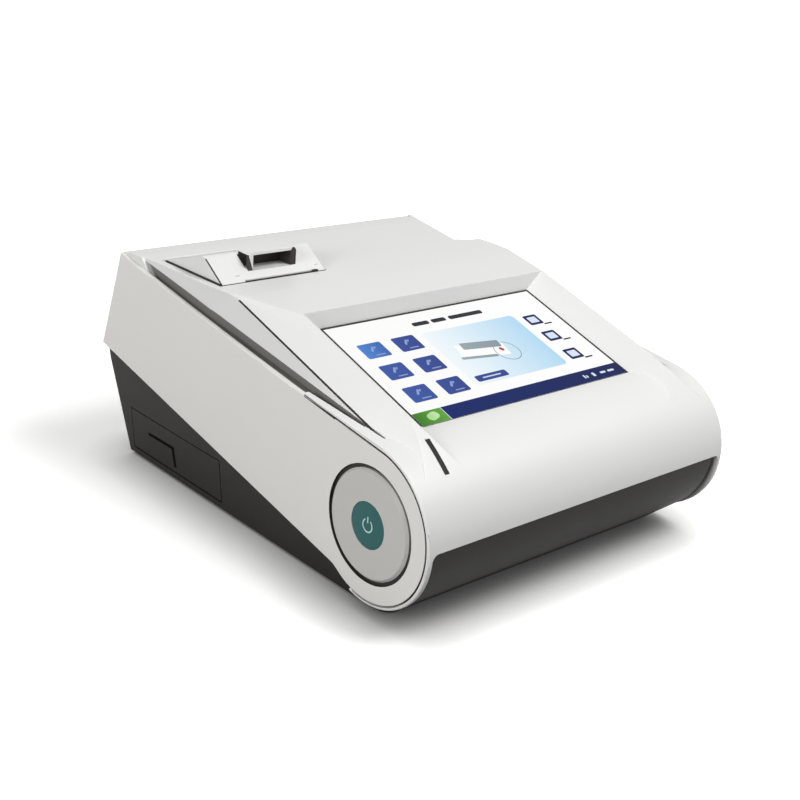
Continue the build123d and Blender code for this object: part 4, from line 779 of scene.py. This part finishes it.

# %% [markdown]
# The shade in the hatch's pocket
#
# The hatch is pulled open at a pocket, and shade falls along the pocket's upper and front edges.
# It is painted shade: near-black rubber strips lie along those edges, almost flush with the
# hatch's skin. The hatch leans, so each strip is a cube turned into the hatch's own plane.

# %% Painted shade in the hatch's pocket
POCKET = ((110.2, 23.4), (81.0, 23.8), (79.2, 10.4))     # the pocket's two edges, as Y and Z
POCKET_SHADE_WIDE = (2.0, 2.8)
POCKET_SHADE_THICK = 1.0
POCKET_SHADE_PROUD = 0.06
HATCH_OUT = Vector((-0.9954, 0, -0.0960))       # square to the hatch, outwards
HATCH_AT = Vector((-111.9, 76.9, 22.2))         # a point on its skin
pocket_shade = bmesh.new()
for start, end, wide in zip(POCKET, POCKET[1:], POCKET_SHADE_WIDE):
    ends = []
    for y, z in (start, end):
        x = HATCH_AT.x - HATCH_OUT.z / HATCH_OUT.x * (z - HATCH_AT.z)
        ends.append(Vector((x, y, z)))
    along = (ends[1] - ends[0]).normalized()
    inwards = along.cross(HATCH_OUT)
    lie = Matrix((along, inwards, HATCH_OUT)).transposed().to_4x4()
    sunk = HATCH_OUT * (POCKET_SHADE_THICK / 2 - POCKET_SHADE_PROUD)
    middle = (ends[0] + ends[1]) / 2 + inwards * wide / 2 - sunk
    run = (ends[1] - ends[0]).length
    bmesh.ops.create_cube(pocket_shade, size=1, matrix=(
        Matrix.Translation(middle) @ lie @ Matrix.Diagonal((run, wide, POCKET_SHADE_THICK, 1))
    ))
    print("grip strip in mm:", round(run, 1), "by", wide)
bmesh.ops.scale(pocket_shade, vec=(MM, MM, MM), verts=pocket_shade.verts)
hatch_pocket_shade = add_piece("hatch_pocket_shade", pocket_shade, POCKET_SHADE_RUBBER, "side_hatch")

# %% [markdown]
# What the screen shows
#
# The panel behind the glass is lit: a white page with a title bar, six square keys, a pale
# blue picture of a test cartridge, three small keys at the right and a dark blue bar below.
# A lit panel gives off light, so each colour is an emission close to the colour itself,
# under a smooth clear surface that still reflects the room a little. A backlight is never
# quite even, so each colour runs slowly from one tone to another across the screen.

# %% How a lit colour is made
GLOW = 0.97               # just under 1, so that white stays below clipping
PANEL_BLACK = "050505"
PANEL_ROUGHNESS = 0.12
PANEL_SHINE = 0.05


def lit_colour(name, left_colour, right_colour, left_mm=-81.0, right_mm=81.0):
    """A backlit colour that runs from one to another across the screen."""
    material, output = new_material(name)
    place = add_node(material, "ShaderNodeTexCoord")
    axes = add_node(material, "ShaderNodeSeparateXYZ", links={"Vector": place.outputs["Object"]})
    across = add_node(
        material, "ShaderNodeMapRange",
        {"From Min": left_mm * MM, "From Max": right_mm * MM},
        {"Value": axes.outputs["X"]},
    )
    colours = add_node(material, "ShaderNodeValToRGB", links={"Fac": across.outputs["Result"]})
    colours.color_ramp.elements[0].color = linear(left_colour)
    colours.color_ramp.elements[1].color = linear(right_colour)
    surface = add_node(
        material, "ShaderNodeBsdfPrincipled",
        {
            "Base Color": linear(PANEL_BLACK), "Roughness": PANEL_ROUGHNESS,
            "Specular IOR Level": PANEL_SHINE, "Emission Strength": GLOW,
        },
        {"Emission Color": colours.outputs["Color"]},
    )
    connect(material, surface.outputs["BSDF"], output.inputs["Surface"])
    return material


# %% The lit colours
# Two numbers at the end say where the run of tones starts and ends, as X in mm.
LIT_WHITE = lit_colour("lit_white", "fdfdfc", "ffffff")
LIT_SKY = lit_colour("lit_sky_blue", "f3fafd", "b4dcf5", -25, 49)
LIT_NAVY = lit_colour("lit_navy", "10276b", "081c56")
LIT_KEY = lit_colour("lit_key_blue", "3e5aa6", "34488f", -72, -31)
LIT_CHOSEN = lit_colour("lit_chosen_blue", "4f86d2", "3b68b4", -72, -55)
LIT_GREEN = lit_colour("lit_green", "3f7d2a", "63a845", -81, -60)
LIT_LEAF = lit_colour("lit_pale_green", "9fd47f", "c9ecb4", -76, -64)
LIT_GREY = lit_colour("lit_grey", "9fabb0", "8797a0", -16, 24)
LIT_INK = lit_colour("lit_ink", "23262c", "2f333b")
LIT_PALE = lit_colour("lit_pale_marks", "b9cbea", "dfeaf8")
LIT_MARK = lit_colour("lit_key_marks", "8c9fd2", "93a7da")
LIT_RED = lit_colour("lit_red", "b8403a", "b8403a")
print("lit colours:", len([m for m in bpy.data.materials if m.name.startswith("lit_")]))

# %% [markdown]
# The screen's own plane
#
# The screen leans back, and its marks are easiest to place in its own flat millimetres: X
# across from the middle, and up from the lower edge. A matrix takes them from there to the
# glass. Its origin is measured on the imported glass, so the marks always lie on it.

# %% From the screen's millimetres to the scene
SCREEN_TILT = radians(17.6)     # how steeply the glass rises to the rear
ON_TOP = 1e-5             # corners this close to the highest plane belong to the upper face
screen_up = Vector((0, cos(SCREEN_TILT), sin(SCREEN_TILT)))
screen_out = Vector((0, -sin(SCREEN_TILT), cos(SCREEN_TILT)))
glass_corners = [vert.co for vert in frame["nodes"]["touch_glass"].data.vertices]
glass_top = max(corner.dot(screen_out) for corner in glass_corners)
glass_foot = min(
    corner.dot(screen_up) for corner in glass_corners
    if corner.dot(screen_out) > glass_top - ON_TOP
)
screen_place = Matrix.Translation(glass_foot * screen_up + glass_top * screen_out) @ Matrix(
    (Vector((1, 0, 0)), screen_up, screen_out)
).transposed().to_4x4() @ Matrix.Scale(MM, 4)
print("foot of the glass in mm:", [round(c / MM, 2) for c in screen_place.translation])

# %% [markdown]
# Marks on the screen
#
# Each mark is a plate 0.05 mm thick on the glass, and later ones lie a layer higher, so that
# no two faces share a plane and flicker. A picture on one flat face would need an image, and
# plates need only cubes with their upright edges rounded by a bevel. A ring is a square
# profile spun once round.

# %% How marks are made
LAYER_MM = 0.05


def screen_marks(name, material, layer, blocks=(), rings=()):
    """Thin plates on the glass: blocks are x, up, width, height, corner in mm and a lean."""
    work = bmesh.new()
    for x, up, width, height, corner, lean in blocks:
        place = (
            Matrix.Translation((x, up, layer * LAYER_MM))
            @ Matrix.Rotation(radians(lean), 4, "Z")
            @ Matrix.Diagonal((width, height, LAYER_MM, 1))
        )
        verts = bmesh.ops.create_cube(work, size=1, matrix=place)["verts"]
        if corner:
            upright = [
                edge for edge in {edge for vert in verts for edge in vert.link_edges}
                if abs(edge.verts[0].co.z - edge.verts[1].co.z) > LAYER_MM / 2
            ]
            bmesh.ops.bevel(
                work, geom=upright, offset=corner, segments=4, profile=0.5, affect="EDGES",
                material=-1, clamp_overlap=True,
            )
    for x, up, radius, thick in rings:
        low, high = (layer - 0.5) * LAYER_MM, (layer + 0.5) * LAYER_MM
        corners = [
            work.verts.new((x + out, up, height))
            for out, height in (
                (radius, low), (radius + thick, low), (radius + thick, high), (radius, high)
            )
        ]
        outline = [work.edges.new((corners[i - 1], corners[i])) for i in range(4)]
        bmesh.ops.spin(
            work, geom=corners + outline, cent=(x, up, 0), axis=(0, 0, 1), angle=2 * pi,
            steps=48, use_merge=True,
        )
    bmesh.ops.transform(work, matrix=screen_place, verts=work.verts)
    add_piece(name, work, material, "casing")


# %% The page and its keys
KEY_X = (-63.5, -39.0)          # middles of the two columns
KEY_UP = (64.8, 44.8, 24.3)     # and of the three rows
keys = [(x, up, 16.5, 13.0, 1.2, 0) for up in KEY_UP for x in KEY_X]

screen_marks("screen_page", LIT_WHITE, 1, [(0, 44.95, 161.8, 89.3, 0.5, 0)])
screen_marks("screen_chosen_key", LIT_CHOSEN, 2, keys[:1])
screen_marks("screen_keys", LIT_KEY, 2, keys[1:])
screen_marks("screen_key_marks", LIT_MARK, 3, [
    mark for x, up, *_ in keys for mark in (
        (x - 0.5, up + 1.2, 1.5, 5.0, 0.7, -35), (x + 1.8, up + 2.2, 0.9, 2.2, 0.4, -35),
        (x + 1.5, up - 4.2, 6.5, 0.8, 0.3, 0),
    )
])
print("page:", len(keys), "keys")

# %% The picture of a test cartridge
screen_marks("screen_picture", LIT_SKY, 2, [(12.0, 44.8, 74.0, 51.0, 3.0, 0)])
screen_marks("screen_picture_body", LIT_WHITE, 3, [(3.2, 46.3, 34.0, 12.5, 1.0, -8)])
screen_marks("screen_picture_window", LIT_GREY, 4, [
    (5.2, 50.6, 27.5, 6.2, 0.8, -8), (-3.5, 41.0, 26.0, 2.2, 0.9, -8),
])
screen_marks("screen_picture_well", LIT_RED, 5, [(15.8, 43.4, 2.4, 3.6, 1.1, 30)])
screen_marks("screen_picture_ring", LIT_GREY, 5, rings=[(18.4, 41.0, 8.2, 0.5)])
screen_marks("screen_start_key", LIT_KEY, 3, [(-9.5, 24.3, 24.0, 5.2, 1.2, 0)])
screen_marks("screen_start_mark", LIT_PALE, 4, [(-9.5, 24.3, 14.0, 1.0, 0.4, 0)])
print("picture: cartridge, ring and start key")

# %% The side keys, the title and the bar
SIDE_UP = (62.3, 45.3, 26.3)
screen_marks("screen_side_frames", LIT_NAVY, 2, [(60.5, up, 11.0, 9.5, 1.0, 0) for up in SIDE_UP])
screen_marks("screen_side_fields", LIT_PALE, 3, [(60.5, up, 7.0, 5.6, 0.5, 0) for up in SIDE_UP])
screen_marks("screen_side_words", LIT_INK, 2, [
    (68.6, up - 5.6, 6.5, 1.2, 0.5, 0) for up in SIDE_UP
])
screen_marks("screen_title_bars", LIT_INK, 2, [
    (-17.5, 79.2, 12.5, 3.4, 1.2, 0), (-3.5, 79.2, 11.0, 3.4, 1.2, 0),
    (18.2, 79.2, 27.0, 3.4, 1.2, 0),
])
screen_marks("screen_bar", LIT_NAVY, 2, [(10.2, 5.45, 141.4, 10.3, 0.3, 0)])
screen_marks("screen_home_key", LIT_GREEN, 2, [(-70.9, 5.45, 20.0, 10.3, 0.5, 0)])
screen_marks("screen_home_leaf", LIT_LEAF, 3, [(-69.5, 5.8, 8.5, 5.5, 2.6, 20)])
screen_marks("screen_bar_marks", LIT_PALE, 3, [
    (49.0, 5.4, 1.2, 3.0, 0.4, 0), (51.0, 5.0, 1.2, 2.2, 0.4, 0), (57.0, 5.4, 2.2, 3.4, 0.9, 0),
    (65.0, 5.4, 4.6, 1.6, 0.6, 0), (72.0, 5.4, 5.4, 1.6, 0.6, 0),
])

# %% [markdown]
# The power symbol
#
# The button carries the usual sign for power, an open ring with a bar in its gap, printed
# in a pale ink. The real print is a film, and here it stands 0.08 mm proud, so that the two
# surfaces don't flicker. A square profile is spun round most of a circle, and a cube makes
# the bar. An image of it would need unwrapping and would blur from close by.

# %% Power symbol
BUTTON_X, BUTTON_Y, BUTTON_Z = -119.0, -109.5, 53.0      # middle of the button's face
SYMBOL_R = 3.1            # inner radius of the ring
SYMBOL_LINE = 0.8         # width of its line
SYMBOL_RISE = 0.08        # how far the print stands out
SYMBOL_SUNK = 0.02        # the print starts a hair below the button's face
SYMBOL_GAP = radians(70)
BAR_LENGTH = 3.4
symbol = bmesh.new()
profile = [
    symbol.verts.new((BUTTON_X + rise, BUTTON_Y + out * sin(SYMBOL_GAP / 2),
                      BUTTON_Z + out * cos(SYMBOL_GAP / 2)))
    for rise, out in (
        (SYMBOL_SUNK, SYMBOL_R), (SYMBOL_SUNK, SYMBOL_R + SYMBOL_LINE),
        (-SYMBOL_RISE, SYMBOL_R + SYMBOL_LINE), (-SYMBOL_RISE, SYMBOL_R),
    )
]
end_face = symbol.faces.new(profile)
bmesh.ops.spin(
    symbol, geom=[end_face, *end_face.edges, *profile], cent=(BUTTON_X, BUTTON_Y, BUTTON_Z),
    axis=(-1, 0, 0), angle=2 * pi - SYMBOL_GAP, steps=40,
)
bmesh.ops.create_cube(symbol, size=1, matrix=Matrix.Translation(
    (BUTTON_X + (SYMBOL_SUNK - SYMBOL_RISE) / 2, BUTTON_Y, BUTTON_Z + SYMBOL_R)
) @ Matrix.Diagonal((SYMBOL_RISE + SYMBOL_SUNK, SYMBOL_LINE, BAR_LENGTH, 1)))
bmesh.ops.scale(symbol, vec=(MM, MM, MM), verts=symbol.verts)
power_symbol = add_piece("power_symbol", symbol, PALE_INK, "power_button")
print("power symbol:", len(power_symbol.data.polygons), "faces")
